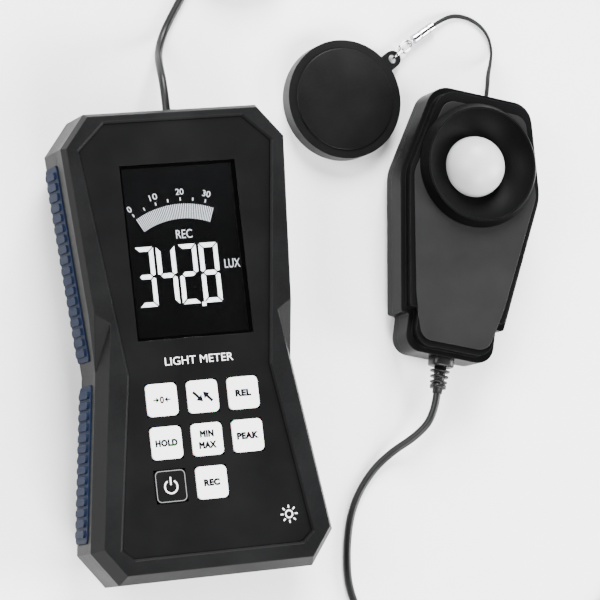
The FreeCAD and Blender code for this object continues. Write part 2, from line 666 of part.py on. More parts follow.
def make_lcd_holder():
    low = "pcb_low_z + pcb_thick"
    outer = centred_block(
        "holder_block", ("0", "window_y"), ("holder_wide", "holder_long", "holder_tall"), low)
    inner = block(
        "holder_room",
        ("-0.5*holder_wide + holder_wall", "window_y - 0.5*holder_long + holder_end_wall", low),
        ("holder_wide - 2*holder_wall", "holder_long - 2*holder_end_wall", "holder_tall"),
    )
    return difference("lcd_holder", outer, [inner])


def make_key(label):
    """Square key cap on a wider flange that keeps it behind the deck."""
    body = new_body(label)
    cap = pad(body, box_corners(("0", "0"), ("key_size", "key_size")), "key_low_z", "key_top_z - key_low_z")
    round_edges(body, cap, "key_corner", runs_along(V(0, 0, 1)))
    sketch = new_sketch(body, "XY_Plane", "key_low_z")
    draw_outline(sketch, box_corners(("0", "0"), ("key_flange", "key_flange")))
    flange = body.newObject("PartDesign::Pad", f"{label}_flange")
    flange.Profile = sketch
    bind(flange, {"Length": "key_flange_thick"})
    x, y = key_place(label)
    return bind(body, {"Placement.Base.x": x, "Placement.Base.y": y})


def make_dome_switches():
    low = "pcb_low_z + pcb_thick"
    return group("dome_switches", [
        rod(f"{name}_switch", (*key_place(name), low), "dome_radius", "dome_tall") for name in KEYS])


def make_main_pcb():
    """Circuit board on the case's posts."""
    body = new_body("main_pcb")
    board = pad(body, box_corners(("0", "0"), ("pcb_wide", "pcb_long")), "pcb_low_z", "pcb_thick")
    round_edges(body, board, "pcb_corner", runs_along(V(0, 0, 1)))
    return body


# ---------------------------------------------------------------- battery bay

def make_battery_door():
    """Sliding door with a tongue along each side and grooves for the thumb."""
    body = new_body("battery_door")
    middle = ("0", "door_top_y - 0.5*door_long")
    pad(body, box_corners(middle, ("2*door_half", "door_long")), "door_low_z", "door_thick")
    sketch = new_sketch(body, "XY_Plane", "tongue_low_z")
    draw_outline(sketch, [
        ("-1*door_half - tongue", "door_top_y - door_long"), ("door_half + tongue", "door_top_y - door_long"),
        ("door_half + tongue", "door_top_y"), ("-1*door_half - tongue", "door_top_y"),
    ])
    tongues = body.newObject("PartDesign::Pad", "door_tongues")
    tongues.Profile = sketch
    bind(tongues, {"Length": "tongue_thick"})
    doc.recompute()
    groove_sketch = new_sketch(body, "XY_Plane", "door_low_z")
    draw_outline(groove_sketch, box_corners(("0", "thumb_y"), ("thumb_wide", "thumb_groove")))
    groove = body.newObject("PartDesign::Pocket", "thumb_groove")
    groove.Profile = groove_sketch
    groove.Reversed = True
    bind(groove, {"Length": "thumb_deep"})
    doc.recompute()
    grooves = body.newObject("PartDesign::LinearPattern", "thumb_grooves")
    grooves.Originals = [groove]
    grooves.Direction = (origin_feature(body, "Y_Axis"), [""])
    bind(grooves, {"Length": "thumb_reach", "Occurrences": "thumb_count"})
    body.Tip = grooves
    return body


def make_batteries():
    """Three cells side by side, each with its raised terminal; the middle one points the other way."""
    cells = []
    for place in (-1, 0, 1):
        x = f"{place}*cell_pitch"
        low = "cell_low_y + nub_long" if place == 0 else "cell_low_y"
        nub_low = "cell_low_y" if place == 0 else "cell_low_y + cell_long"
        case = rod(f"cell_{place + 1}", (x, low, "cell_z"), "cell_radius", "cell_long", LEFTWARD)
        nub = rod(f"nub_{place + 1}", (x, nub_low, "cell_z"), "nub_radius", "nub_long", LEFTWARD)
        cells.append(union(f"battery_{place + 1}", [case, nub]))
    return group("aaa_batteries", cells)


def make_battery_contacts():
    """Spring-metal strips at both ends of the bay."""
    places = {"low": "cell_low_y - contact_thick", "high": "cell_low_y + cell_long + nub_long"}
    return group("battery_contacts", [
        block(
            f"contact_{end}", ("-0.5*contact_wide", y, "contact_low_z"),
            ("contact_wide", "contact_thick", "contact_tall"))
        for end, y in places.items()])


# ---------------------------------------------------------------- fasteners and inserts

def make_screws(label, places, seat, tip):
    """Pan-head screws driven from the back: the head under the seat, the shank above it."""
    screws = []
    for index, (x, y) in enumerate(places):
        low = f"{seat} - screw_head_tall"
        head = rod(f"{label}_head_{index}", (x, y, low), "screw_head", "screw_head_tall")
        shank = rod(f"{label}_shank_{index}", (x, y, seat), "screw_shank", f"{tip} - {seat}")
        screws.append(union(f"{label}_{index}", [head, shank]))
    return group(label, screws)


def make_insert(label, y, tall, deep):
    """Brass insert with a blind camera thread that opens at the back."""
    outer = rod(f"{label}_barrel", ("0", y, "insert_low_z"), "insert_radius", tall)
    bore = rod(f"{label}_bore", ("0", y, "insert_low_z"), "tripod_bore", deep)
    return difference(label, outer, [bore])


def make_cable_grommet():
    """Rubber bush through the end wall, with a lip on each side of it."""
    outside = ("cable_exit_x", "rim_top_y", "cable_exit_z")
    inside = ("cable_exit_x", "rim_top_y - wall - grommet_lip", "cable_exit_z")
    neck = rod("grommet_neck_rod", inside, "grommet_neck", "wall + 2*grommet_lip", LEFTWARD)
    lips = [
        rod("grommet_lip_out", outside, "grommet_flange", "grommet_lip", LEFTWARD),
        rod("grommet_lip_in", inside, "grommet_flange", "grommet_lip", LEFTWARD),
    ]
    return union("cable_grommet", [neck] + lips)


# ---------------------------------------------------------------- sensor head

HEAD = FreeCAD.Placement(
    V(size("head_x"), size("head_y"), 0), FreeCAD.Rotation(V(0, 0, 1), size("head_turn")))
NECK = [("neck_x", "head_low_y"), ("neck_x", "neck_y")]
HEAD_OUTLINE = mirrored(half_outline("head", ("top", "mid", "low")) + NECK)
PLATE_OUTLINE = mirrored(half_outline("plate", ("top", "mid", "low", "foot")))
HEAD_SCREWS = [
    (f"{sign}*head_screw_x", f"head_screw_{end}_y") for end in ("upper", "lower") for sign in (-1, 1)
]


def on_head(thing):
    """Put a sub-part made in the sensor head's frame where the head lies."""
    thing.Placement = HEAD
    return thing


def rounded_prism(points, radii, low, high):
    """Upright solid over an outline whose corners are rounded, each by its own radius."""
    count = len(points)
    edges = []
    tangents = []
    for index, point in enumerate(points):
        before = (points[index - 1] - point).normalize()
        after = (points[(index + 1) % count] - point).normalize()
        turn = math.pi - before.getAngle(after)
        reach = radii[index] * math.tan(turn / 2)
        middle = point + (before + after).normalize() * radii[index] * (1 / math.cos(turn / 2) - 1)
        tangents.append((point + before * reach, middle, point + after * reach))
    for index, (start, middle, end) in enumerate(tangents):
        edges.append(Part.Arc(start, middle, end).toShape())
        edges.append(Part.LineSegment(end, tangents[(index + 1) % count][0]).toShape())
    face = Part.Face(Part.Wire(edges))
    face.translate(V(0, 0, low))
    return face.extrude(V(0, 0, high - low))


def head_prism(inward, low, high):
    """Sensor head's outline, moved inwards and rounded, between two heights."""
    points = inset(corner_points(HEAD_OUTLINE), inward)
    # The outline runs from the left top corner down to the neck, then up the right side.
    corners = ("head_corner", "head_waist_corner", "head_shoulder_corner", "head_notch_corner", "neck_corner")
    half = [size(corner) for corner in corners]
    return rounded_prism(points, half + half[::-1], low, high)


def make_sensor_front_shell():
    split, lip, deck = size("head_split_z"), size("head_lip_z"), size("head_deck_z")
    wall, tier = size("head_wall"), size("tier_inset")
    ceiling = size("head_ceiling_z")
    outside = head_prism(0, split, lip).fuse(head_prism(tier, lip, deck))
    room = head_prism(wall, split, lip - wall).fuse(head_prism(wall + tier, lip - wall, ceiling))
    shell = difference(
        "head_hollow", solid_feature("head_block", outside.removeSplitter()),
        [solid_feature("head_room", room.removeSplitter())])
    bosses = [
        rod(f"head_front_boss_{index}", (x, y, "head_split_z"), "head_boss", "head_ceiling_z - head_split_z")
        for index, (x, y) in enumerate(HEAD_SCREWS)
    ]
    deep = "head_screw_tip_z - head_split_z"
    holes = [
        rod(f"head_front_hole_{index}", (x, y, "head_split_z"), "front_hole", deep)
        for index, (x, y) in enumerate(HEAD_SCREWS)
    ]
    collar_hole = rod(
        "collar_hole", ("0", "0", "head_split_z"), "collar_radius + collar_gap", "head_deck_z")
    relief_hole = rod(
        "relief_hole", ("0", "neck_y - head_wall", "relief_z"), "relief_plug + relief_plug_gap",
        "3*head_wall", LEFTWARD)
    lanyard_hole = rod(
        "lanyard_hole_rod", ("lanyard_x", "head_top_y - 2*head_wall", "lanyard_z"), "lanyard_hole",
        "3*head_wall", LEFTWARD)
    bossed = union("head_bossed", [shell] + bosses)
    return on_head(difference("sensor_front_shell", bossed, holes + [collar_hole, relief_hole, lanyard_hole]))


def make_sensor_rear_shell():
    split, back = size("head_split_z"), size("head_back_z")
    wall, back_inset = size("head_wall"), size("head_back_inset")
    outside = head_prism(back_inset, 0, back).fuse(head_prism(0, back, split))
    room = head_prism(wall + back_inset, wall, split)
    shell = difference(
        "tail_hollow", solid_feature("tail_block", outside.removeSplitter()),
        [solid_feature("tail_room", room)])
    bosses = [
        rod(f"head_rear_boss_{index}", (x, y, "0"), "head_boss", "head_split_z")
        for index, (x, y) in enumerate(HEAD_SCREWS)
    ]
    posts = [
        rod(f"head_post_{end}_{sign}", (f"{sign}*head_post_x", f"head_post_{end}_y", "0"),
            "head_post", "head_pcb_low_z")
        for end in ("upper", "lower") for sign in (-1, 1)
    ]
    tripod = rod("head_tripod_boss_rod", ("0", "head_tripod_y", "0"), "head_tripod_boss", "head_split_z")
    body = union("tail_bossed", [shell, tripod] + bosses + posts)
    counterbores = [
        rod(f"head_counterbore_{index}", (x, y, "0"), "screw_head + insert_gap", "head_seat_z")
        for index, (x, y) in enumerate(HEAD_SCREWS)
    ]
    holes = [
        rod(f"head_rear_hole_{index}", (x, y, "head_seat_z"), "screw_hole", "head_split_z - head_seat_z")
        for index, (x, y) in enumerate(HEAD_SCREWS)
    ]
    insert_hole = rod(
        "head_insert_hole", ("0", "head_tripod_y", "0"), "insert_radius + insert_gap",
        "insert_low_z + head_insert_tall")
    return on_head(difference("sensor_rear_shell", body, counterbores + holes + [insert_hole]))


def make_sensor_face_plate():
    """Flat plate over the sensor head's front, open around the collar."""
    points = corner_points(PLATE_OUTLINE)
    low, thick, corner = size("head_deck_z"), size("plate_thick"), size("plate_corner")
    half = [corner, size("plate_waist_corner"), corner, corner]
    blank = solid_feature("plate_blank", rounded_prism(points, half + half[::-1], low, low + thick))
    hole = rod("plate_hole", ("0", "0", "head_deck_z"), "collar_radius + collar_gap", "plate_thick")
    return on_head(difference("sensor_face_plate", blank, [hole]))


def make_light_collar():
    """Dark cup around the dome, flared where it meets the face plate."""
    return on_head(turned("light_collar", [
        ("dome_ball + collar_gap", "collar_low_z"), ("collar_radius", "collar_low_z"),
        ("collar_radius", "collar_skirt_z"), ("collar_base", "collar_skirt_z"),
        ("collar_base", "collar_skirt_z + collar_rim_flat"), ("collar_radius", "collar_rim_z"),
        ("collar_radius - collar_rim_flat", "collar_rim_z", "-cup_bend"),
        ("cup_floor_radius", "cup_floor_z"), ("dome_ball + collar_gap", "cup_floor_z"),
    ]))


def make_diffuser_dome():
    """White half ball on a short skirt, hollow inside."""
    return on_head(turned("diffuser_dome", [
        ("dome_ball - dome_shell", "dome_skirt_z"), ("dome_ball", "dome_skirt_z"),
        ("dome_ball", "dome_centre_z", "dome_ball"), ("0", "dome_centre_z + dome_ball"),
        ("0", "dome_centre_z + dome_ball - dome_shell", "-dome_inside"),
        ("dome_ball - dome_shell", "dome_centre_z"),
    ]))


def make_strain_relief():
    """Ribbed sleeve: a plug through the neck's wall, a block outside it, a core and shrinking fins."""
    profile = [
        ("0", "-1*head_wall"), ("relief_plug", "-1*head_wall"), ("relief_plug", "0"), ("relief_block", "0"),
        ("relief_block", "relief_block_long"), ("relief_core", "relief_block_long"),
    ]
    for fin in range(1, int(size("relief_fins")) + 1):
        fin_end = f"relief_block_long + {fin}*relief_fin_pitch"
        radius = f"relief_fin - {fin}*relief_fin_step"
        profile += [
            ("relief_core", f"{fin_end} - relief_fin_thick"), (radius, f"{fin_end} - relief_fin_thick"),
            (radius, fin_end), ("relief_core", fin_end),
        ]
    profile += [("relief_core", "relief_long"), ("0", "relief_long")]
    body = turned("strain_relief", profile)
    body.Placement = HEAD.multiply(FreeCAD.Placement(V(0, size("neck_y"), size("relief_z")), TOWARDS_CABLE))
    return body


def make_head_disc(label, radius, low, thick):
    """Round piece on the dome's axis, set in the sensor head's frame."""
    high = f"{low} + {thick}"
    return on_head(turned(label, [("0", low), (radius, low), (radius, high), ("0", high)]))


def make_lanyard_toggle():
    """Bead inside the head's end wall that stops the lanyard from pulling through."""
    body = turned("lanyard_toggle", [
        ("0", "0"), ("toggle_radius", "0"), ("toggle_radius", "toggle_long"), ("0", "toggle_long")])
    inner_face = V(size("lanyard_x"), size("head_top_y") - size("head_wall"), size("lanyard_z"))
    body.Placement = HEAD.multiply(FreeCAD.Placement(inner_face, TOWARDS_CABLE))
    return body


# ---------------------------------------------------------------- cap, chain and lanyard

def heading(turn):
    """Direction in the XY plane at an angle from +X."""
    return V(math.cos(math.radians(turn)), math.sin(math.radians(turn)), 0)


EYELET = V(size("cap_x"), size("cap_y"), size("chain_z")) + heading(size("cap_turn")) * size("eyelet_reach")
CHAIN_WAY = heading(size("chain_turn"))
LINK_END = size("link_straight") + size("link_bend")
LINK_2 = EYELET + CHAIN_WAY * (size("eyelet_slack") + LINK_END)
LINK_1 = LINK_2 + CHAIN_WAY * size("link_spacing")
CRIMP_EYE = LINK_1 + CHAIN_WAY * size("eye_spacing")
CRIMP_WAY = heading(size("crimp_turn"))


def make_sensor_cap():
    """Shallow cap, mouth down, with a gently domed crown and a flat eyelet on its edge."""
    crown = turned("cap_crown", [
        ("0", "cap_edge_z - cap_roof"), ("cap_bore", "cap_edge_z - cap_roof"), ("cap_bore", "0"),
        ("cap_radius", "0"), ("cap_radius", "cap_edge_z"), ("cap_crown_radius", "cap_edge_z"),
        ("cap_crown_radius", "cap_edge_z + cap_step", "cap_dome_bend"), ("cap_crown_flat", "cap_depth"),
        ("0", "cap_depth"),
    ])
    crown.Placement.Base = V(size("cap_x"), size("cap_y"), 0)
    crown.Placement.Rotation = FreeCAD.Rotation(V(0, 0, 1), size("cap_turn"))
    plate_low = EYELET.z - size("eyelet_thick") / 2
    tab = Part.makeBox(
        size("eyelet_reach") - size("cap_bore"), 2 * size("eyelet_radius"), size("eyelet_thick"),
        V(size("cap_bore"), -size("eyelet_radius"), plate_low))
    tab.Placement = crown.Placement.multiply(tab.Placement)
    ring = Part.makeCylinder(size("eyelet_radius"), size("eyelet_thick"), V(EYELET.x, EYELET.y, plate_low))
    hole = Part.makeCylinder(size("eyelet_hole"), size("eyelet_thick"), V(EYELET.x, EYELET.y, plate_low))
    eyelet = solid_feature("cap_eyelet", tab.fuse(ring).cut(hole).removeSplitter())
    return union("sensor_cap", [crown, eyelet])


def chain_link(label, middle, upright):
    """Stadium-shaped wire link, lying flat or standing on edge along the chain."""
    bend, straight, wire = size("link_bend"), size("link_straight"), size("link_wire")
    ends = [V(-straight, -bend, 0), V(straight, -bend, 0), V(straight, bend, 0), V(-straight, bend, 0)]
    path = Part.Wire([
        Part.LineSegment(ends[0], ends[1]).toShape(),
        Part.Arc(ends[1], V(straight + bend, 0, 0), ends[2]).toShape(),
        Part.LineSegment(ends[2], ends[3]).toShape(),
        Part.Arc(ends[3], V(-straight - bend, 0, 0), ends[0]).toShape(),
    ])
    section = Part.Wire(Part.makeCircle(wire, ends[0], V(1, 0, 0)))
    solid = path.makePipeShell([section], True, False)
    link = solid_feature(label, solid)
    tip = FreeCAD.Rotation(V(1, 0, 0), 90 if upright else 0)
    link.Placement = FreeCAD.Placement(middle, FreeCAD.Rotation(V(0, 0, 1), size("chain_turn")).multiply(tip))
    return link


def make_lanyard_crimp():
    """Metal sleeve with two pressed grooves and an upright eye for the chain."""
    start, long_side, radius = size("crimp_start"), size("crimp_long"), size("crimp_radius")
    along = V(1, 0, 0)
    sleeve = Part.makeCylinder(radius, long_side, V(start, 0, 0), along)
    wide, inward = size("crimp_groove_wide"), size("crimp_groove_inset")
    for place in (start + inward, start + long_side - inward - wide):
        groove = Part.makeCylinder(2 * radius, wide, V(place, 0, 0), along)
        core = Part.makeCylinder(radius - size("crimp_groove"), wide, V(place, 0, 0), along)
        sleeve = sleeve.cut(groove.cut(core))
    eye = Part.makeTorus(size("eye_radius"), size("link_wire"), V(0, 0, 0), V(0, 1, 0))
    crimp = solid_feature("lanyard_crimp", sleeve.fuse(eye))
    crimp.Placement = FreeCAD.Placement(CRIMP_EYE, FreeCAD.Rotation(V(0, 0, 1), size("crimp_turn")))
    return crimp


# ---------------------------------------------------------------- cords

def cord_tube(label, route, diameter):
    """Round cord along a route: straight runs joined by arcs as large as the runs allow."""
    arc_share = 0.45   # of the shorter run at a corner, the part that its arc takes
    points = [V(*place) for place in route]
    edges = []
    radii = []
    leave = points[0]
    for before, point, after in zip(points, points[1:], points[2:]):
        back, ahead = before - point, after - point
        turn = math.pi - back.getAngle(ahead)
        reach = arc_share * min(back.Length, ahead.Length)
        radius = reach / math.tan(turn / 2)
        back.normalize()
        ahead.normalize()
        enter, exit_point = point + back * reach, point + ahead * reach
        middle = point + (back + ahead).normalize() * radius * (1 / math.cos(turn / 2) - 1)
        edges.append(Part.LineSegment(leave, enter).toShape())
        edges.append(Part.Arc(enter, middle, exit_point).toShape())
        radii.append(round(radius, 1))
        leave = exit_point
    edges.append(Part.LineSegment(leave, points[-1]).toShape())
    path = Part.Wire(edges)
    section = Part.Wire(Part.makeCircle(diameter / 2, points[0], points[1] - points[0]))
    tube = path.makePipeShell([section], True, False)
    share = tube.Volume / (math.pi * diameter ** 2 / 4 * path.Length)
    print(f"{label}: length {path.Length:.1f}, radii {radii}, volume {share:.4f} of section x length")
    if abs(share - 1) > 0.01:
        raise RuntimeError(f"{label}'s volume is not its section times its length")
    return solid_feature(label, tube)


def coil_section(name, clearance, angle):
    """Ring of the coil's cross-section, or a part of a turn of it, grown by a clearance."""
    half_wide = size("coil_columns") * size("cable") / 2 + clearance
    low, tall = size("coil_low_z") - clearance, size("coil_layers") * size("cable") + 2 * clearance
    inner, outer = size("coil_mean") - half_wide, size("coil_mean") + half_wide
    corners = [V(inner, 0, low), V(outer, 0, low), V(outer, 0, low + tall), V(inner, 0, low + tall)]
    face = Part.Face(Part.makePolygon(corners + corners[:1]))
    feature = solid_feature(name, face.revolve(V(0, 0, 0), V(0, 0, 1), angle))
    feature.Placement.Base = V(size("coil_x"), size("coil_y"), 0)
    feature.Placement.Rotation = FreeCAD.Rotation(V(0, 0, 1), size("tie_turn"))
    return feature


def make_coil_tie():
    """Band around the coil's turns at one place."""
    band = coil_section("tie_outside", size("tie_gap") + size("tie_thick"), size("tie_arc"))
    return difference("coil_tie", band, [coil_section("tie_room", size("tie_gap"), size("tie_arc"))])


# ---------------------------------------------------------------- the assembly

def make_parts():
    """Every sub-part, by the name of its node."""
    openings = front_openings()
    window = ("0", "window_y")
    board_top = "pcb_low_z + pcb_thick"
    parts = [
        make_front_shell(openings),
        make_rear_shell(),
        make_side_grip("side_grip_upper_left", "upper", -1),
        make_side_grip("side_grip_upper_right", "upper", 1),
        make_side_grip("side_grip_lower_left", "lower", -1),
        make_side_grip("side_grip_lower_right", "lower", 1),
        make_front_overlay(openings),
        make_plate(
            "display_window", window, ("window_wide", "window_long"), "window_low_z", "window_thick",
            "window_corner"),
        make_plate("lcd_glass", window, ("glass_wide", "glass_long"), "glass_low_z", "glass_thick"),
        make_lcd_holder(),
        make_plate(
            "lcd_backlight", window, ("backlight_wide", "backlight_long"), board_top, "backlight_thick"),
        make_dome_switches(),
        make_main_pcb(),
        make_battery_door(),
        make_batteries(),
        make_battery_contacts(),
        make_screws("housing_screws", SCREW_PLACES, "boss_seat_z", "screw_tip_z"),
        make_insert("tripod_insert", "tripod_y", "insert_tall", "tripod_deep"),
        make_cable_grommet(),
        make_sensor_front_shell(),
        make_sensor_rear_shell(),
        make_sensor_face_plate(),
        make_light_collar(),
        make_diffuser_dome(),
        make_head_disc("colour_filter", "filter_radius", "filter_low_z", "filter_thick"),
        make_head_disc("photodiode", "diode_radius", "head_pcb_low_z + head_pcb_thick", "diode_tall"),
        on_head(make_plate(
            "sensor_pcb", ("0", "head_pcb_y"), ("head_pcb_wide", "head_pcb_long"), "head_pcb_low_z",
            "head_pcb_thick", "head_pcb_corner")),
        on_head(make_screws("sensor_screws", HEAD_SCREWS, "head_seat_z", "head_screw_tip_z")),
        on_head(make_insert("sensor_tripod_insert", "head_tripod_y", "head_insert_tall", "head_tripod_deep")),
        make_strain_relief(),
        make_lanyard_toggle(),
        make_sensor_cap(),
        chain_link("chain_link_1", LINK_1, False),
        chain_link("chain_link_2", LINK_2, True),
        make_lanyard_crimp(),
        cord_tube("lanyard_cord", LANYARD_ROUTE, size("lanyard")),
        cord_tube("cable_meter_side", METER_CABLE_ROUTE, size("cable")),
        coil_section("cable_coil", 0, 360),
        cord_tube("cable_sensor_side", SENSOR_CABLE_ROUTE, size("cable")),
        make_coil_tie(),
    ]
    return parts + [make_key(name) for name in KEYS]


def check_document(parts):
    """Stop if any object failed to recompute or any sub-part's shape is missing or invalid."""
    doc.recompute()
    for thing in doc.Objects:
        if "Invalid" in thing.State or "Error" in thing.State:
            raise RuntimeError(f"{thing.Label} is {thing.State}")
    for part in parts:
        if part.Shape.isNull() or not part.Shape.isValid() or not part.Shape.Solids:
            raise RuntimeError(f"{part.Label} has no valid solid")


def export_parts(parts):
    """One STEP file for each sub-part."""
    for part in parts:
        part.Shape.exportStep(f"parts/{part.Label}.step")
    print(f"{len(parts)} sub-parts written")


all_parts = make_parts()
check_document(all_parts)
export_parts(all_parts)
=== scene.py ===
import math
from collections import namedtuple

import bmesh
import bpy
from mathutils import Matrix, Vector


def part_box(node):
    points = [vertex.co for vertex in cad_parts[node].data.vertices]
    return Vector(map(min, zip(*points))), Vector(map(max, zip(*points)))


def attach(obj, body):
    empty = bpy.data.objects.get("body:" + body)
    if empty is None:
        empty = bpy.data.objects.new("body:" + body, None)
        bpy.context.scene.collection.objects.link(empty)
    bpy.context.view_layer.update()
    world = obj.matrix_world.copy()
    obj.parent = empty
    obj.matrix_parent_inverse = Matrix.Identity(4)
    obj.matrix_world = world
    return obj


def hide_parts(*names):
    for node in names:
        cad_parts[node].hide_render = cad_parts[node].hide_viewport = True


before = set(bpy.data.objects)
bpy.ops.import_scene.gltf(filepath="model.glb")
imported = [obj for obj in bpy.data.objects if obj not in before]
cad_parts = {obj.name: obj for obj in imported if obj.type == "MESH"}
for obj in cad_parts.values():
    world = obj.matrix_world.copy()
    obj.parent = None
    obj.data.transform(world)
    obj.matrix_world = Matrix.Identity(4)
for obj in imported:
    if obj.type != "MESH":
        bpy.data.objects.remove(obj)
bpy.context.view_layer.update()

# Handheld light meter, its sensor head, cap and cable, laid out on a pale table.
# Metres, in the frame of the CAD model: X across the meter, Y towards its display end, Z up.
# Sizes of small printed and moulded details are given in millimetres and scaled by MM.

MM = 0.001
FULL_TURN = 2 * math.pi


# ---------------------------------------------------------------- camera and light

VIEW_CENTRE = Vector((0.0529, 0.01405, 0.0))
TOWARDS_CAMERA = Vector((-0.357, -0.078, 0.931)).normalized()
CAMERA_UP = Vector((0.0749, 0.991, 0.112)).normalized()
FRAME_WIDTH = 0.215     # of what the picture shows at the view's centre
LENS = 210.0            # millimetres, as is the sensor's width
SENSOR = 36.0

WORLD_STRENGTH = 0.2
LAYOUT_MIDDLE = Vector((0.055, 0.02, 0.0))
# Square soft lights that face the middle of the layout: place, side and power.
LIGHTS = {
    "window_side_light": ((-0.80, 0.30, 0.80), 0.6, 22.0),
    "top_end_light": ((0.15, 1.1, 0.75), 0.6, 62.0),
    "right_light": ((1.2, -0.35, 0.60), 0.6, 48.0),
    "near_light": ((0.1, -1.1, 0.9), 0.8, 46.0),
}


def make_camera():
    data = bpy.data.cameras.new("camera")
    data.lens = LENS
    data.sensor_width = SENSOR
    data.clip_end = 20.0
    camera = bpy.data.objects.new("camera", data)
    right = CAMERA_UP.cross(TOWARDS_CAMERA).normalized()
    up = TOWARDS_CAMERA.cross(right)
    turn = Matrix((right, up, TOWARDS_CAMERA)).transposed().to_4x4()
    distance = FRAME_WIDTH * LENS / SENSOR
    camera.matrix_world = Matrix.Translation(VIEW_CENTRE + TOWARDS_CAMERA * distance) @ turn
    bpy.context.collection.objects.link(camera)
    bpy.context.scene.camera = camera


def make_lights():
    world = bpy.data.worlds.new("studio")
    world.use_nodes = True
    background = world.node_tree.nodes["Background"]
    background.inputs["Color"].default_value = (1, 1, 1, 1)
    background.inputs["Strength"].default_value = WORLD_STRENGTH
    bpy.context.scene.world = world
    for name, (place, side, power) in LIGHTS.items():
        data = bpy.data.lights.new(name, "AREA")
        data.size = side
        data.energy = power
        light = bpy.data.objects.new(name, data)
        light.location = place
        light.rotation_euler = (Vector(place) - LAYOUT_MIDDLE).to_track_quat("Z", "Y").to_euler()
        bpy.context.collection.objects.link(light)


# ---------------------------------------------------------------- node helpers

def set_inputs(tree, node, inputs):
    """Give a node's inputs plain values, or link them to other nodes' output sockets."""
    for socket, value in inputs.items():
        if isinstance(value, bpy.types.NodeSocket):
            tree.links.new(value, node.inputs[socket])
        else:
            node.inputs[socket].default_value = value


def add(tree, kind, inputs=None, **settings):
    """New node with its settings and inputs."""
    node = tree.nodes.new(kind)
    for field, value in settings.items():
        setattr(node, field, value)
    set_inputs(tree, node, inputs or {})
    return node


def new_material(name):
    """New material, its node tree and the shader in it."""
    material = bpy.data.materials.new(name)
    material.use_nodes = True
    return material, material.node_tree, material.node_tree.nodes["Principled BSDF"]


def maths(tree, operation, first, second=0.0):
    """Result of one step of arithmetic."""
    return add(tree, "ShaderNodeMath", {0: first, 1: second}, operation=operation).outputs["Value"]


def noise(tree, scale, detail=3.0, stretch=(1, 1, 1)):
    """Noise in the object's own coordinates, which are metres at rest."""
    place = add(tree, "ShaderNodeTexCoord").outputs["Object"]
    stretched = add(tree, "ShaderNodeMapping", {"Vector": place, "Scale": stretch}).outputs["Vector"]
    texture = add(tree, "ShaderNodeTexNoise", {"Vector": stretched, "Scale": scale, "Detail": detail})
    return texture.outputs["Fac"]


def remap(tree, value, low, high, from_low=0.3, from_high=0.7):
    """Value stretched from one range, by default noise's usual one, to another, clamped at both ends."""
    ranges = {"Value": value, "From Min": from_low, "From Max": from_high, "To Min": low, "To Max": high}
    return add(tree, "ShaderNodeMapRange", ranges).outputs["Result"]


def mix_colour(tree, share, first, second):
    """Colour between two others, by a share from 0 to 1."""
    first_colour, second_colour, result = 6, 7, 2   # the sockets of a Mix node that are for colours
    inputs = {"Factor": share, first_colour: first, second_colour: second}
    return add(tree, "ShaderNodeMix", inputs, data_type="RGBA").outputs[result]


def shade(colour, factor):
    """Colour made lighter or darker, with full opacity."""
    return (*(min(channel * factor, 1.0) for channel in colour), 1)


def rounded_normal(tree, radius):
    """Normal that rolls over sharp edges, as a moulded or machined edge does."""
    return add(tree, "ShaderNodeBevel", {"Radius": radius}, samples=6).outputs["Normal"]


def edge_wear_and_painted_light(tree, rolled):
    """1 along edges, as wear and painted light: where the rolled normal leaves the face's own, broken up
    by noise.
    """
    edge_full_cosine, edge_nil_cosine = 0.80, 0.97      # between the two normals, where the edges' wear and painted light are full and nil
    flat = add(tree, "ShaderNodeNewGeometry").outputs["Normal"]
    product = add(tree, "ShaderNodeVectorMath", {0: rolled, 1: flat}, operation="DOT_PRODUCT")
    edge = remap(tree, product.outputs["Value"], 1.0, 0.0, edge_full_cosine, edge_nil_cosine)
    patches = remap(tree, noise(tree, 240.0, 5.0), 0.25, 1.0, 0.35, 0.65)
    return maths(tree, "MULTIPLY", edge, patches)


# ---------------------------------------------------------------- materials

def moulded(
        name, colour, roughness=0.45, grain=2600.0, grain_deep=0.02, tone=0.18, rounding=0.35, wear_and_painted_light=2.2,
        spread=0.06, stretch=(1, 1, 1), **more):
    """Moulded plastic, rubber or metal: fine grain, tone and gloss that vary, and edges worn and painted
    lighter.

    Grain is in features per metre; its depth and the edge rounding are in millimetres. Tone is how far
    the colour varies, the edge factor how many times lighter the edges are, partly as wear and partly as
    painted highlight (below 1 they are darker, as painted shade), and spread how far the roughness varies.
    """
    material, tree, shader = new_material(name)
    fine = noise(tree, grain, 2.0, stretch)
    broad = noise(tree, 42.0, 4.0, stretch)
    rolled = rounded_normal(tree, rounding * MM)
    body = mix_colour(tree, remap(tree, broad, 0.0, 1.0), shade(colour, 1 - tone), shade(colour, 1 + tone))
    speckled = mix_colour(tree, remap(tree, fine, 0.0, 0.35, 0.5, 0.8), body, shade(colour, 1 + 3 * tone))
    rough_fine = remap(tree, fine, roughness - spread / 2, roughness + spread / 2)
    rough_broad = remap(tree, broad, -spread, spread)
    relief = {"Strength": 0.6, "Distance": grain_deep * MM, "Height": fine, "Normal": rolled}
    set_inputs(tree, shader, {
        # Edges painted lighter, partly as wear and partly as painted highlight; with a factor below 1,
        # darker, as painted shade.
        "Base Color": mix_colour(tree, edge_wear_and_painted_light(tree, rolled), speckled, shade(colour, wear_and_painted_light)),
        "Roughness": maths(tree, "ADD", rough_fine, rough_broad),
        "Normal": add(tree, "ShaderNodeBump", relief).outputs["Normal"],
    })
    set_inputs(tree, shader, {socket.replace("_", " "): value for socket, value in more.items()})
    return material


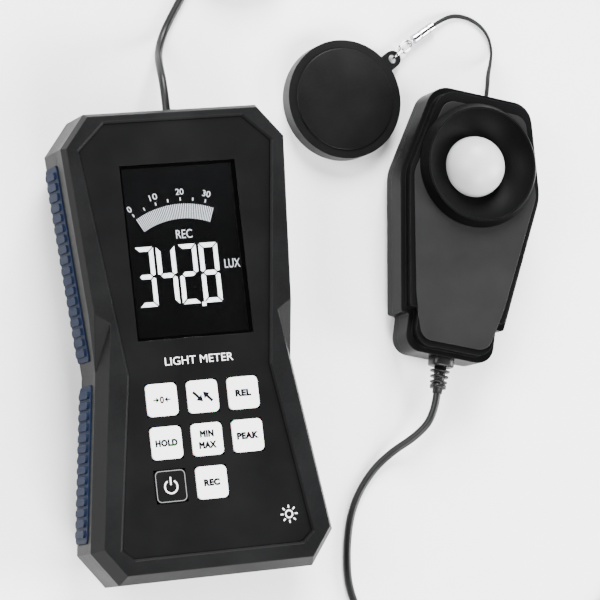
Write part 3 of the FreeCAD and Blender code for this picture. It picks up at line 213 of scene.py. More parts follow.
def window_material():
    """Clear scratch-resistant pane: slightly tinted, glossy, with faint wipe marks."""
    material, tree, shader = new_material("window_pane")
    wipes = noise(tree, 60.0, 5.0, (1, 0.25, 1))
    smudge = remap(tree, noise(tree, 25.0, 3.0), 0.0, 1.0)
    set_inputs(tree, shader, {
        "Base Color": mix_colour(tree, smudge, (0.80, 0.82, 0.84, 1), (0.86, 0.87, 0.88, 1)),
        "Roughness": remap(tree, wipes, 0.0, 0.02),
        "Transmission Weight": 1.0,
        "IOR": 1.3,
    })
    return material


def lcd_material():
    """Black display cell with a painted reflection: a faint glow that grows towards its upper end."""
    material, tree, shader = new_material("lcd_cell")
    painted_reflection_strength = 0.006
    painted_reflection_start = 0.45      # where it begins, as a share of the window's length
    place = add(tree, "ShaderNodeTexCoord").outputs["Object"]
    height = add(tree, "ShaderNodeSeparateXYZ", {"Vector": place}).outputs["Y"]
    low_y, high_y = (corner.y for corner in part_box("display_window"))
    # Painted reflection: the cell glows more towards the window's upper end.
    painted_reflection = remap(tree, height, 0.0, painted_reflection_strength, low_y + painted_reflection_start * (high_y - low_y), high_y)
    cloud = remap(tree, noise(tree, 70.0, 4.0), 0.7, 1.3)
    tone = remap(tree, noise(tree, 90.0), 0.0, 1.0)
    set_inputs(tree, shader, {
        "Base Color": mix_colour(tree, tone, (0.0008, 0.0008, 0.001, 1), (0.0014, 0.0014, 0.0016, 1)),
        "Roughness": remap(tree, noise(tree, 3500.0, 1.0), 0.30, 0.40),
        "Emission Strength": maths(tree, "MULTIPLY", painted_reflection, cloud),
        "Emission Color": (0.85, 0.9, 1.0, 1),
        "IOR": 1.1,
    })
    return material


def lit_material(name, colour, strength):
    """Lit part of the display: an even, slightly mottled glow."""
    material, tree, shader = new_material(name)
    set_inputs(tree, shader, {
        "Base Color": (*colour, 1),
        "Roughness": remap(tree, noise(tree, 900.0, 2.0), 0.4, 0.6),
        "Emission Color": (*colour, 1),
        "Emission Strength": remap(tree, noise(tree, 400.0, 3.0), 0.85 * strength, 1.1 * strength),
    })
    return material


def ink_material(name, colour):
    """Screen-printed ink: thin and slightly grainy."""
    material, tree, shader = new_material(name)
    grain = noise(tree, 5200.0, 3.0)
    relief = {"Strength": 0.4, "Distance": 0.01 * MM, "Height": grain}
    set_inputs(tree, shader, {
        "Base Color": mix_colour(tree, remap(tree, grain, 0.0, 1.0), shade(colour, 0.9), shade(colour, 1.1)),
        "Roughness": remap(tree, grain, 0.45, 0.62),
        "Normal": add(tree, "ShaderNodeBump", relief).outputs["Normal"],
        "IOR": 1.1,
    })
    return material


def weave_material(name, colour, around, along):
    """Braided strand: two crossing sets of threads, so many around it and so many in a metre of it."""
    material, tree, shader = new_material(name)
    uv = add(tree, "ShaderNodeUVMap", uv_map="strand").outputs["UV"]
    parts = add(tree, "ShaderNodeSeparateXYZ", {"Vector": uv})
    turns = maths(tree, "MULTIPLY", parts.outputs["X"], around * FULL_TURN)
    steps = maths(tree, "MULTIPLY", parts.outputs["Y"], along * FULL_TURN)
    waves = [maths(tree, "SINE", maths(tree, operation, turns, steps)) for operation in ("ADD", "SUBTRACT")]
    braid = maths(tree, "MAXIMUM", *waves)
    # Painted shade and highlight: the colour is darker between the threads and lighter on their crests.
    height = remap(tree, braid, 0.0, 1.0, -0.5, 1.0)
    relief = {"Strength": 0.8, "Distance": 0.06 * MM, "Height": braid}
    set_inputs(tree, shader, {
        "Base Color": mix_colour(tree, height, shade(colour, 0.5), shade(colour, 1.7)),
        "Roughness": remap(tree, noise(tree, 4000.0), 0.6, 0.8),
        "Normal": add(tree, "ShaderNodeBump", relief).outputs["Normal"],
        "Specular IOR Level": 0.2,
    })
    return material


# The dark plastics have a low IOR, so that the pale table doesn't wash them out.
# Their edges are painted lighter, partly as wear and partly as painted highlight along the bevels.
CASE = moulded(
    "case_plastic", (0.0042, 0.0043, 0.0045), 0.46, grain=2100, grain_deep=0.05, tone=0.22, rounding=0.5,
    wear_and_painted_light=2.8, IOR=1.17)
GRIP = moulded(
    "grip_rubber", (0.0052, 0.0095, 0.0235), 0.6, grain=3000, grain_deep=0.03, rounding=0.4, wear_and_painted_light=2.4,
    IOR=1.15)
LABEL_FILM = moulded(
    "label_film", (0.0034, 0.0034, 0.0036), 0.38, grain=3800, grain_deep=0.012, tone=0.1, rounding=0.12,
    wear_and_painted_light=1.5, IOR=1.17)
WINDOW = window_material()
LCD = lcd_material()
WHITE_PLASTIC = moulded("white_plastic", (0.75, 0.75, 0.73), 0.5, tone=0.04, wear_and_painted_light=1.1)
CONTACT = moulded(
    "contact_metal", (0.72, 0.70, 0.66), 0.25, grain=900, wear_and_painted_light=1.1, stretch=(1, 8, 1), Metallic=1.0)
BOARD = moulded("circuit_board", (0.012, 0.12, 0.035), 0.35, grain=1200, grain_deep=0.03, tone=0.3)
CELL_JACKET = moulded("cell_jacket", (0.35, 0.22, 0.06), 0.3, grain=800, tone=0.12, Coat_Weight=0.5)
SCREW_STEEL = moulded("screw_steel", (0.42, 0.42, 0.43), 0.35, grain=1800, wear_and_painted_light=1.4, Metallic=1.0)
BRASS = moulded("insert_brass", (0.62, 0.42, 0.16), 0.3, grain=1500, wear_and_painted_light=1.3, Metallic=1.0)
CABLE_RUBBER = moulded(
    "cable_rubber", (0.0040, 0.0040, 0.0043), 0.42, grain=2200, grain_deep=0.02, rounding=0.1, wear_and_painted_light=1.0,
    IOR=1.3)
HEAD_PLASTIC = moulded(
    "head_plastic", (0.0036, 0.0036, 0.0038), 0.32, grain=2400, grain_deep=0.02, rounding=0.6, wear_and_painted_light=3.4,
    IOR=1.08)
FACE_PLATE = moulded(
    "face_plate_film", (0.0100, 0.0100, 0.0103), 0.42, grain=3200, grain_deep=0.012, tone=0.1, rounding=0.3,
    wear_and_painted_light=1.8, IOR=1.22)
# Its rim is painted twelve times lighter, as a painted highlight.
COLLAR = moulded(
    "collar_plastic", (0.0014, 0.0014, 0.0015), 0.5, grain=2600, grain_deep=0.03, rounding=0.25, wear_and_painted_light=12.0,
    IOR=1.12)
DIFFUSER = moulded(
    "diffuser_plastic", (0.45, 0.45, 0.45), 0.42, grain=2600, grain_deep=0.01, tone=0.03, wear_and_painted_light=1.0,
    Subsurface_Weight=0.1, Subsurface_Scale=0.002)
FILTER = moulded("filter_glass", (0.10, 0.28, 0.14), 0.08, grain=900, tone=0.05, Coat_Weight=1.0)
CAP = moulded(
    "cap_plastic", (0.0038, 0.0038, 0.0040), 0.40, grain=2000, grain_deep=0.04, tone=0.2, rounding=0.35,
    wear_and_painted_light=2.6, IOR=1.2)
CHAIN = moulded(
    "chain_metal", (0.48, 0.48, 0.50), 0.2, grain=1200, tone=0.08, rounding=0.1, wear_and_painted_light=1.1, Metallic=1.0)
TIE = moulded("tie_plastic", (0.0040, 0.0040, 0.0043), 0.4, grain=1800, wear_and_painted_light=1.6, IOR=1.2)
# The keys' edges are painted a little darker, as painted shade.
KEY_WHITE = moulded(
    "key_white", (0.86, 0.86, 0.86), 0.5, grain=2600, grain_deep=0.015, tone=0.03, rounding=0.5, wear_and_painted_light=0.93,
    Subsurface_Weight=0.15, Subsurface_Scale=0.001)
KEY_BLACK = moulded(
    "power_key", (0.0032, 0.0032, 0.0034), 0.45, grain=2600, grain_deep=0.02, rounding=0.5, wear_and_painted_light=1.6,
    IOR=1.15)
SEGMENT = lit_material("lit_segment", (1.0, 1.0, 1.0), 2.8)
BAR_LIT = lit_material("lit_bar", (0.92, 0.95, 1.0), 0.5)
WHITE_INK = ink_material("white_ink", (0.72, 0.72, 0.72))
GREY_INK = ink_material("grey_ink", (0.16, 0.16, 0.165))
BLACK_INK = ink_material("black_ink", (0.003, 0.003, 0.004))
# Painted shade, for the seam of the lanyard's crimp.
SHADOW = ink_material("painted_recess_shade", (0.003, 0.003, 0.003))
LANYARD_CLOTH = weave_material("lanyard_cloth", (0.005, 0.005, 0.0055), around=3, along=1400)

KEYS = ["key_zero", "key_range", "key_rel", "key_hold", "key_min_max", "key_peak", "key_power", "key_rec"]
DRESS = {
    CASE: ["front_shell", "rear_shell", "battery_door"],
    GRIP: [f"side_grip_{level}_{side}" for level in ("upper", "lower") for side in ("left", "right")],
    LABEL_FILM: ["front_overlay"],
    WINDOW: ["display_window"],
    LCD: ["lcd_glass"],
    WHITE_PLASTIC: ["lcd_holder", "lcd_backlight"],
    KEY_WHITE: [key for key in KEYS if key != "key_power"],
    KEY_BLACK: ["key_power"],
    CONTACT: ["battery_contacts", "dome_switches"],
    BOARD: ["main_pcb", "sensor_pcb"],
    CELL_JACKET: ["aaa_batteries"],
    SCREW_STEEL: ["housing_screws", "sensor_screws"],
    BRASS: ["tripod_insert", "sensor_tripod_insert"],
    CABLE_RUBBER: ["cable_grommet"],
    HEAD_PLASTIC: ["sensor_front_shell", "sensor_rear_shell"],
    FACE_PLATE: ["sensor_face_plate"],
    COLLAR: ["light_collar", "lanyard_toggle"],
    DIFFUSER: ["diffuser_dome"],
    FILTER: ["colour_filter", "photodiode"],
    CAP: ["sensor_cap"],
    CHAIN: ["chain_link_1", "chain_link_2", "lanyard_crimp"],
    TIE: ["coil_tie"],
}


def dress_nodes():
    """Give every carried-over CAD node its material."""
    for material, nodes in DRESS.items():
        for node in nodes:
            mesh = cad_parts[node].data
            mesh.materials.clear()
            mesh.materials.append(material)


def make_floor():
    mesh = bpy.data.meshes.new("floor")
    half = 2.0
    corners = [(-half, -half, 0), (half, -half, 0), (half, half, 0), (-half, half, 0)]
    mesh.from_pydata(corners, [], [(0, 1, 2, 3)])
    floor = bpy.data.objects.new("floor", mesh)
    bpy.context.collection.objects.link(floor)
    mesh.materials.append(moulded(
        "floor", (0.90, 0.90, 0.90), 0.75, grain=700, grain_deep=0.01, tone=0.01, wear_and_painted_light=1.0, IOR=1.2))


# ---------------------------------------------------------------- making pieces

# Where a printed mark or a display segment lies: its underside and thickness in metres, and its body.
Layer = namedtuple("Layer", "low thick body")


def piece_from(shape, name, material, body):
    """Object from a bmesh, dressed and riding on a body."""
    bmesh.ops.recalc_face_normals(shape, faces=shape.faces)
    mesh = bpy.data.meshes.new(name)
    shape.to_mesh(mesh)
    shape.free()
    return dressed_piece(mesh, name, material, body)


def dressed_piece(mesh, name, material, body):
    """Object with one material, riding on a body."""
    mesh.materials.clear()
    mesh.materials.append(material)
    made = bpy.data.objects.new(name, mesh)
    bpy.context.collection.objects.link(made)
    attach(made, body)
    return made


def bridge(shape, near, far):
    """Smooth faces between two rings of vertices, in their order round the rings."""
    faces = []
    for index in range(len(near)):
        following = (index + 1) % len(near)
        face = shape.faces.new((near[index], near[following], far[following], far[index]))
        face.smooth = True
        faces.append(face)
    return faces


def add_plate(shape, outline, low, high):
    """Thin prism over a closed outline in the XY plane."""
    bottom = [shape.verts.new((x, y, low)) for x, y in outline]
    top = [shape.verts.new((x, y, high)) for x, y in outline]
    shape.faces.new(bottom[::-1])
    shape.faces.new(top)
    for index in range(len(outline)):
        following = (index + 1) % len(outline)
        shape.faces.new((bottom[index], bottom[following], top[following], top[index]))


def plates(name, outlines, layer, material):
    """Printed marks or display segments: several thin prisms as one piece. Outlines are in millimetres."""
    shape = bmesh.new()
    for outline in outlines:
        add_plate(shape, [(x * MM, y * MM) for x, y in outline], layer.low, layer.low + layer.thick)
    return piece_from(shape, name, material, layer.body)


def lettering(name, words, middle, tall, wide, layer, material, turn=0.0, weight=0.0):
    """Words as solid letters, set to an exact height and width.

    Sizes are in millimetres and the turn in degrees. The weight thickens the strokes, as a share of
    the letters' height, and bolder letters stand further apart.
    """
    half_deep = 0.5
    spread = 1.6
    font = bpy.data.curves.new(name, "FONT")
    font.body = words
    font.bevel_depth = weight
    font.extrude = half_deep - weight
    font.space_character = 1 + spread * weight
    source = bpy.data.objects.new(name, font)
    bpy.context.collection.objects.link(source)
    bpy.context.view_layer.update()
    mesh = bpy.data.meshes.new_from_object(source)
    bpy.data.objects.remove(source)
    places = [vertex.co for vertex in mesh.vertices]
    left, right = min(place.x for place in places), max(place.x for place in places)
    foot, head = min(place.y for place in places), max(place.y for place in places)
    centre = Matrix.Translation((-(left + right) / 2, -(foot + head) / 2, half_deep))
    scale = Matrix.Diagonal((wide * MM / (right - left), tall * MM / (head - foot), layer.thick, 1))
    spin = Matrix.Rotation(math.radians(turn), 4, "Z")
    mesh.transform(Matrix.Translation((middle[0] * MM, middle[1] * MM, layer.low)) @ spin @ scale @ centre)
    return dressed_piece(mesh, name, material, layer.body)


def on_circle(middle, radius, angle):
    """Point at an angle on a circle. Angles here and below are in degrees."""
    turn = math.radians(angle)
    return middle[0] + radius * math.cos(turn), middle[1] + radius * math.sin(turn)


def arc(middle, radius, start, end, steps):
    """Points along an arc."""
    return [on_circle(middle, radius, start + (end - start) * step / steps) for step in range(steps + 1)]


def arc_strokes(middle, radius, wide, start, end, steps):
    """Outlines of the short pieces that make an arc-shaped stroke."""
    inner = arc(middle, radius - wide / 2, start, end, steps)
    outer = arc(middle, radius + wide / 2, start, end, steps)
    return [[inner[i], inner[i + 1], outer[i + 1], outer[i]] for i in range(steps)]


def bar(start, end, wide):
    """Outline of a straight bar between two points."""
    start, end = Vector(start), Vector(end)
    along = (end - start).normalized()
    side = Vector((-along.y, along.x)) * wide / 2
    return [tuple(corner) for corner in (start + side, start - side, end - side, end + side)]


def arrow(start, end, wide, head_long, head_wide):
    """Outline of an arrow with a pointed head."""
    start, end = Vector(start), Vector(end)
    along = (end - start).normalized()
    side = Vector((-along.y, along.x))
    neck = end - along * head_long
    corners = [
        start + side * wide / 2, start - side * wide / 2, neck - side * wide / 2,
        neck - side * head_wide / 2, end, neck + side * head_wide / 2, neck + side * wide / 2,
    ]
    return [tuple(corner) for corner in corners]


# ---------------------------------------------------------------- cords

CABLE = 0.0028          # diameter
COIL_CENTRE = Vector((0.0438, 0.150, 0.0021))
COIL_MEAN = 0.0168      # radius of the circle between the coil's two columns
COIL_TURNS = 7 + 1 / 3
TURN_POINTS = 18
# Where the coil's turns cross to the next place: the turn, and the column and layer that they go to.
COIL_MOVES = [
    (1.00, -1, 0), (1.86, -1, 1), (2.72, 1, 1), (3.58, 1, 2), (4.44, -1, 2), (5.30, -1, 3), (6.16, 1, 3),
]
HALF_MOVE = 0.06        # half of the share of a turn that a crossing takes

# Control points of the cable, from the meter to the coil and from the coil to the sensor head.
METER_CABLE_ROUTE = [
    (0.0030, 0.0820, 0.0210), (0.0030, 0.0910, 0.0210), (0.0047, 0.0998, 0.0136),
    (0.0076, 0.1055, 0.0056), (0.0114, 0.1124, 0.0014), (0.0160, 0.1196, 0.0014),
    (0.0210, 0.1268, 0.0015), (0.0248, 0.1344, 0.0018), (0.0256, 0.1420, 0.0021),
]
SENSOR_CABLE_ROUTE = [
    (0.0572, 0.1633, 0.0104), (0.0660, 0.1580, 0.0086), (0.0766, 0.1518, 0.0044),
    (0.0890, 0.1466, 0.0014), (0.1080, 0.1412, 0.0014), (0.1310, 0.1380, 0.0014),
    (0.1562, 0.1362, 0.0014), (0.1806, 0.1292, 0.0014), (0.1943, 0.1124, 0.0014),
    (0.1956, 0.0840, 0.0014), (0.1932, 0.0540, 0.0014), (0.1888, 0.0230, 0.0014),
    (0.1836, -0.0080, 0.0014), (0.1780, -0.0400, 0.0014), (0.1732, -0.0700, 0.0014),
    (0.1676, -0.0974, 0.0014), (0.1520, -0.1130, 0.0014), (0.1280, -0.1172, 0.0014),
    (0.1030, -0.1168, 0.0014), (0.0800, -0.1138, 0.0014), (0.0646, -0.1058, 0.0014),
    (0.0586, -0.0920, 0.0014), (0.0594, -0.0762, 0.0014), (0.0634, -0.0612, 0.0014),
    (0.0718, -0.0500, 0.0014), (0.0804, -0.0434, 0.0028), (0.0889, -0.0388, 0.0070),
    (0.094921, -0.032497, 0.0110), (0.097095, -0.024385, 0.0110),
]
# Control points of the lanyard, from the sensor head to the crimp.
LANYARD_ROUTE = [
    (0.128834, 0.078613, 0.0110), (0.130646, 0.085374, 0.0110), (0.1334, 0.0906, 0.0066),
    (0.1370, 0.0952, 0.0018), (0.1388, 0.1008, 0.0008), (0.1376, 0.1068, 0.0008),
    (0.1334, 0.1114, 0.0008), (0.1274, 0.1139, 0.0009), (0.1212, 0.1134, 0.0017),
    (0.1155, 0.11033, 0.0021),
]
LANYARD = 0.0016        # diameter of the two strands together
LANYARD_STRAND = 0.0009
LANYARD_TWIST = 0.045   # length in which the two strands change places
STRAND_SIDES = 10


def smooth(share):
    """Share of the way across, from 0 to 1, with a soft start and end."""
    share = min(max(share, 0.0), 1.0)
    return share * share * (3 - 2 * share)


def coil_points():
    """Clockwise turns in two columns and four layers: across a layer, up, and back across."""
    points = []
    for step in range(1, int(COIL_TURNS * TURN_POINTS)):
        turn = step / TURN_POINTS
        column, layer = 1.0, 0.0
        for when, new_column, new_layer in COIL_MOVES:
            share = smooth((turn - when + HALF_MOVE) / (2 * HALF_MOVE))
            column += (new_column - column) * share
            layer += (new_layer - layer) * share
        radius = COIL_MEAN + column * CABLE / 2
        angle = math.pi - turn * FULL_TURN
        around = Vector((radius * math.cos(angle), radius * math.sin(angle), layer * CABLE))
        points.append(COIL_CENTRE + around)
    return points


def nurbs_cord(name, points, diameter):
    """Open NURBS curve with a cord's route as its control points."""
    data = bpy.data.curves.new(name, "CURVE")
    data.dimensions = "3D"
    spline = data.splines.new("NURBS")
    spline.points.add(len(points) - 1)
    for control, place in zip(spline.points, points):
        control.co = (*place, 1.0)
    spline.order_u = 3
    spline.use_endpoint_u = True
    spline.resolution_u = 8
    data.bevel_depth = diameter / 2
    data.bevel_resolution = 6
    cord = bpy.data.objects.new(name, data)
    bpy.context.collection.objects.link(cord)
    return cord


def route_line(points):
    """Points along a route's NURBS spline, in order."""
    guide = nurbs_cord("guide", points, 0.0)
    mesh = bpy.data.meshes.new_from_object(guide)
    line = [vertex.co.copy() for vertex in mesh.vertices]
    bpy.data.objects.remove(guide)
    bpy.data.meshes.remove(mesh)
    return line


def make_cable():
    points = [Vector(place) for place in METER_CABLE_ROUTE] + coil_points()
    points += [Vector(place) for place in SENSOR_CABLE_ROUTE]
    cable = nurbs_cord("cable", points, CABLE)
    cable.data.materials.append(CABLE_RUBBER)
    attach(cable, "root")
    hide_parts("cable_meter_side", "cable_coil", "cable_sensor_side")


def turned(side, lift, angle):
    """Direction at an angle in the plane of two others."""
    return side * math.cos(angle) + lift * math.sin(angle)


def strand(shape, uv_layer, line, start_angle):
    """One of the lanyard's two strands, laid round the route's line.

    Its UVs are the share of the way around it, and the metres along it.
    """
    offset = (LANYARD - LANYARD_STRAND) / 2
    run = 0.0
    last_ring, last_run = None, 0.0
    for index, place in enumerate(line):
        ahead = (line[min(index + 1, len(line) - 1)] - line[max(index - 1, 0)]).normalized()
        side = ahead.cross(Vector((0, 0, 1))).normalized()
        lift = side.cross(ahead)
        if index:
            run += (place - line[index - 1]).length
        middle = place + turned(side, lift, start_angle + math.pi * run / LANYARD_TWIST) * offset
        ring = []
        for corner in range(STRAND_SIDES):
            outward = turned(side, lift, corner / STRAND_SIDES * FULL_TURN)
            ring.append(shape.verts.new(middle + outward * LANYARD_STRAND / 2))
        if last_ring:
            for corner, face in enumerate(bridge(shape, last_ring, ring)):
                start, end = corner / STRAND_SIDES, (corner + 1) / STRAND_SIDES
                corners = [(start, last_run), (end, last_run), (end, run), (start, run)]
                for loop, place_on_strand in zip(face.loops, corners):
                    loop[uv_layer].uv = place_on_strand
        else:
            shape.faces.new(ring[::-1])
        last_ring, last_run = ring, run
    shape.faces.new(last_ring)


def make_lanyard():
    line = route_line(LANYARD_ROUTE)
    shape = bmesh.new()
    uv_layer = shape.loops.layers.uv.new("strand")
    for start_angle in (0.0, math.pi):
        strand(shape, uv_layer, line, start_angle)
    lanyard = piece_from(shape, "lanyard", LANYARD_CLOTH, "root")
    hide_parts("lanyard_cord")


# ---------------------------------------------------------------- display, in millimetres

READING = "3428"
DIGIT_LEFT = -18.9
DIGIT_LOW = 12.9
DIGIT_WIDE = 6.8
DIGIT_TALL = 20.7
DIGIT_PITCH = 7.8
STROKE = 1.55
SEGMENT_GAP = 0.34
LIT_SEGMENTS = {"3": "abgcd", "4": "fbgc", "2": "abged", "8": "abcdefg"}
POINT_DIGIT = 3         # the decimal point stands before this digit, counted from 0
POINT_SIZE = 1.4
POINT_SHIFT = (-0.1, -0.4)
SCALE_CENTRE = (-0.4, 14.5)
SCALE_START = 120.0     # angle of the scale's zero
SCALE_TEN = 15.1        # angle between the numbered marks
FAN_INNER, FAN_OUTER = 28.1, 33.2
FAN_BARS = 44
FAN_BAR_HALF = 0.27     # half a bar's width, as an angle
FAN_LEAD = 0.4          # angle by which the bars start after the zero
FAN_TENS = 3.33         # how many tens of the scale the bars cover
TICK_INNER, TICK_OUTER = 34.3, 35.4
TICK_WIDE = 0.42
TICKS = 7               # one at each number and one halfway between
NUMBER_RADIUS = 37.4
NUMBER_TALL = 2.1
NUMBER_WIDE = {1: 1.35, 2: 2.9}     # by how many digits it has
# Words on the display: the piece, the words, their middle, height and width.
DISPLAY_WORDS = [
    ("display_rec", "REC", (-0.2, 37.2), 3.0, 5.9),
    ("display_unit", "LUX", (16.2, 25.9), 3.1, 5.7),
]
DISPLAY_LIFT = 0.03 * MM
DISPLAY_THICK = 0.02 * MM
# The segments lie on the cell under the pane, so they sit a little to the side of where they are seen.
DISPLAY_SHIFT = (0.75, 0.16)


def on_cell(outline):
    """Outline moved from where it is seen to where it lies."""
    return [(x + DISPLAY_SHIFT[0], y + DISPLAY_SHIFT[1]) for x, y in outline]


def segment_outlines(left, low):
    """Outlines of a seven-segment digit's strokes, by letter."""
    right, high, middle = left + DIGIT_WIDE, low + DIGIT_TALL, low + DIGIT_TALL / 2
    gap, half = SEGMENT_GAP, STROKE / 2
    inner_left, inner_right = left + STROKE + gap, right - STROKE - gap
    inner_low, inner_high = low + STROKE, high - STROKE
    flat_top = [(left + gap, high), (right - gap, high), (inner_right, inner_high), (inner_left, inner_high)]
    flat_low = [(left + gap, low), (inner_left, inner_low), (inner_right, inner_low), (right - gap, low)]
    cross = [
        (left + half + gap, middle), (inner_left, middle + half), (inner_right, middle + half),
        (right - half - gap, middle), (inner_right, middle - half), (inner_left, middle - half),
    ]
    right_upper = [
        (right, high - gap), (right, middle + gap + half / 2), (right - half, middle + gap),
        (right - STROKE, middle + half + gap), (right - STROKE, inner_high - gap),
    ]
    return {
        "a": flat_top,
        "b": right_upper,
        "c": [(x, 2 * middle - y) for x, y in right_upper],
        "d": flat_low,
        "e": [(left + right - x, 2 * middle - y) for x, y in right_upper],
        "f": [(left + right - x, y) for x, y in right_upper],
        "g": cross,
    }


def make_digits(layer):
    outlines = []
    for index, digit in enumerate(READING):
        segments = segment_outlines(DIGIT_LEFT + index * DIGIT_PITCH, DIGIT_LOW)
        outlines += [segments[letter] for letter in LIT_SEGMENTS[digit]]
    x = DIGIT_LEFT + POINT_DIGIT * DIGIT_PITCH + POINT_SHIFT[0]
    y = DIGIT_LOW + POINT_SHIFT[1]
    outlines.append(bar((x - POINT_SIZE / 2, y), (x + POINT_SIZE / 2, y), POINT_SIZE))
    plates("display_digits", [on_cell(outline) for outline in outlines], layer, SEGMENT)


def make_bar_graph(layer):
    """Fan of thin bars under the scale."""
    outlines = []
    for index in range(FAN_BARS):
        angle = SCALE_START - FAN_LEAD - FAN_TENS * SCALE_TEN * index / (FAN_BARS - 1)
        inner = arc(SCALE_CENTRE, FAN_INNER, angle - FAN_BAR_HALF, angle + FAN_BAR_HALF, 1)
        outer = arc(SCALE_CENTRE, FAN_OUTER, angle - FAN_BAR_HALF, angle + FAN_BAR_HALF, 1)
        outlines.append(on_cell([inner[0], outer[0], outer[1], inner[1]]))
    plates("display_bar_graph", outlines, layer, BAR_LIT)


def make_scale(layer):
    """Ticks and numbers over the bars."""
    ticks = []
    for step in range(TICKS):
        angle = SCALE_START - step * SCALE_TEN / 2
        inner = on_circle(SCALE_CENTRE, TICK_INNER, angle)
        outer = on_circle(SCALE_CENTRE, TICK_OUTER, angle)
        ticks.append(on_cell(bar(inner, outer, TICK_WIDE)))
    plates("display_ticks", ticks, layer, BAR_LIT)
    for index, number in enumerate(("0", "10", "20", "30")):
        angle = SCALE_START - index * SCALE_TEN
        middle = on_cell([on_circle(SCALE_CENTRE, NUMBER_RADIUS, angle)])[0]
        lettering(
            f"display_scale_{number}", number, middle, NUMBER_TALL, NUMBER_WIDE[len(number)], layer, BAR_LIT,
            turn=angle - 90)


def make_display():
    """Lit readings on the display cell."""
    layer = Layer(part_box("lcd_glass")[1].z + DISPLAY_LIFT, DISPLAY_THICK, "root")
    make_digits(layer)
    make_bar_graph(layer)
    make_scale(layer)
    for name, words, middle, tall, wide in DISPLAY_WORDS:
        lettering(name, words, on_cell([middle])[0], tall, wide, layer, BAR_LIT)


# ---------------------------------------------------------------- printing on the meter, in millimetres

PRINT_LIFT = 0.01 * MM
PRINT_THICK = 0.03 * MM
LEGEND_TALL = 2.4
LEGEND_WEIGHT = 0.07
LEGEND_LINE = 1.95      # from a key's middle to each line of a legend in two lines
# Keys with words: the key, the words, their width and how far they stand above the key's middle.
LEGENDS = [
    ("key_rel", "REL", 5.8, 0.0),
    ("key_hold", "HOLD", 8.0, 0.0),
    ("key_min_max", "MIN", 5.0, LEGEND_LINE),
    ("key_min_max", "MAX", 6.4, -LEGEND_LINE),
    ("key_peak", "PEAK", 8.0, 0.0),
    ("key_rec", "REC", 5.8, 0.0),
]
POWER_HALF = 5.25       # from the power key's middle to the line round it
POWER_CORNER = 1.5
POWER_LINE = 0.24
SIGN_RADIUS = 2.25
SIGN_STROKE = 0.55
SIGN_OPENING = 32       # half of the ring's opening, as an angle
SIGN_DROP = 0.2         # from the power key's middle down to the ring's
SIGN_BAR = (0.4, 3.1)   # heights of the bar's two ends above the key's middle
CAPTION_MIDDLE = (0.2, -6.3)
CAPTION_TALL, CAPTION_WIDE = 2.75, 24.8
LAMP_MIDDLE = (26.8, -62.3)
LAMP_RADIUS = 1.25
LAMP_STROKE = 0.5
RAY_INNER, RAY_OUTER = 2.1, 3.1
RAYS = 8


def key_top(key):
    """Middle of a key's top in millimetres, and the layer of ink on it."""
    low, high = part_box(key)
    middle = (low.x + high.x) / 2 / MM, (low.y + high.y) / 2 / MM
    return middle, Layer(high.z + PRINT_LIFT, PRINT_THICK, key)


def make_key_legends():
    for key, words, wide, rise in LEGENDS:
        (x, y), layer = key_top(key)
        name = f"{key}_print_{words.lower()}"
        lettering(name, words, (x, y + rise), LEGEND_TALL, wide, layer, BLACK_INK, weight=LEGEND_WEIGHT)


def make_zero_sign():
    """Two arrows that point at a nought."""
    (x, y), layer = key_top("key_zero")
    tail, tip = 3.1, 0.95
    line, head_long, head_wide = 0.42, 1.1, 1.9
    arrows = [
        arrow((x + side * tail, y), (x + side * tip, y), line, head_long, head_wide) for side in (-1, 1)]
    plates("key_zero_arrows", arrows, layer, BLACK_INK)
    lettering("key_zero_figure", "0", (x, y), LEGEND_TALL, 1.5, layer, BLACK_INK, weight=0.04)


def make_range_sign():
    """Two slanting arrows, one down and one up."""
    (x, y), layer = key_top("key_range")
    line, head_long, head_wide = 0.9, 2.1, 2.7
    arrows = [
        arrow((x - 3.4, y + 1.7), (x + 0.0, y - 1.8), line, head_long, head_wide),
        arrow((x + 3.4, y - 1.8), (x + 0.2, y + 1.6), line, head_long, head_wide),
    ]
    plates("key_range_arrows", arrows, layer, BLACK_INK)


def make_power_printing():
    """Outline of the power key and its ring-and-bar sign."""
    (x, y), layer = key_top("key_power")
    reach = POWER_HALF - POWER_CORNER
    outline = []
    for sign_x, sign_y, start in ((1, 1, 0), (-1, 1, 90), (-1, -1, 180), (1, -1, 270)):
        corner = (x + sign_x * reach, y + sign_y * reach)
        outline += arc_strokes(corner, POWER_CORNER, POWER_LINE, start, start + 90, steps=6)
    for side in (-POWER_HALF, POWER_HALF):
        outline.append(bar((x - reach, y + side), (x + reach, y + side), POWER_LINE))
        outline.append(bar((x + side, y - reach), (x + side, y + reach), POWER_LINE))
    plates("key_power_outline", outline, layer, GREY_INK)
    start, end = 90 + SIGN_OPENING, 450 - SIGN_OPENING
    sign = arc_strokes((x, y - SIGN_DROP), SIGN_RADIUS, SIGN_STROKE, start, end, steps=28)
    sign.append(bar((x, y + SIGN_BAR[0]), (x, y + SIGN_BAR[1]), SIGN_STROKE))
    plates("key_power_sign", sign, layer, WHITE_INK)


def make_label_printing():
    """Caption under the display, and a small lamp with rays in the label's lower corner."""
    layer = Layer(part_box("front_overlay")[1].z + PRINT_LIFT, PRINT_THICK, "root")
    lettering("label_caption", "LIGHT METER", CAPTION_MIDDLE, CAPTION_TALL, CAPTION_WIDE, layer, WHITE_INK)
    strokes = arc_strokes(LAMP_MIDDLE, LAMP_RADIUS, LAMP_STROKE, 0, 360, steps=24)
    for ray in range(RAYS):
        angle = ray * 360 / RAYS
        inner = on_circle(LAMP_MIDDLE, RAY_INNER, angle)
        outer = on_circle(LAMP_MIDDLE, RAY_OUTER, angle)
        strokes.append(bar(inner, outer, LAMP_STROKE))
    plates("label_lamp_sign", strokes, layer, WHITE_INK)


# ---------------------------------------------------------------- sensor head details, in millimetres

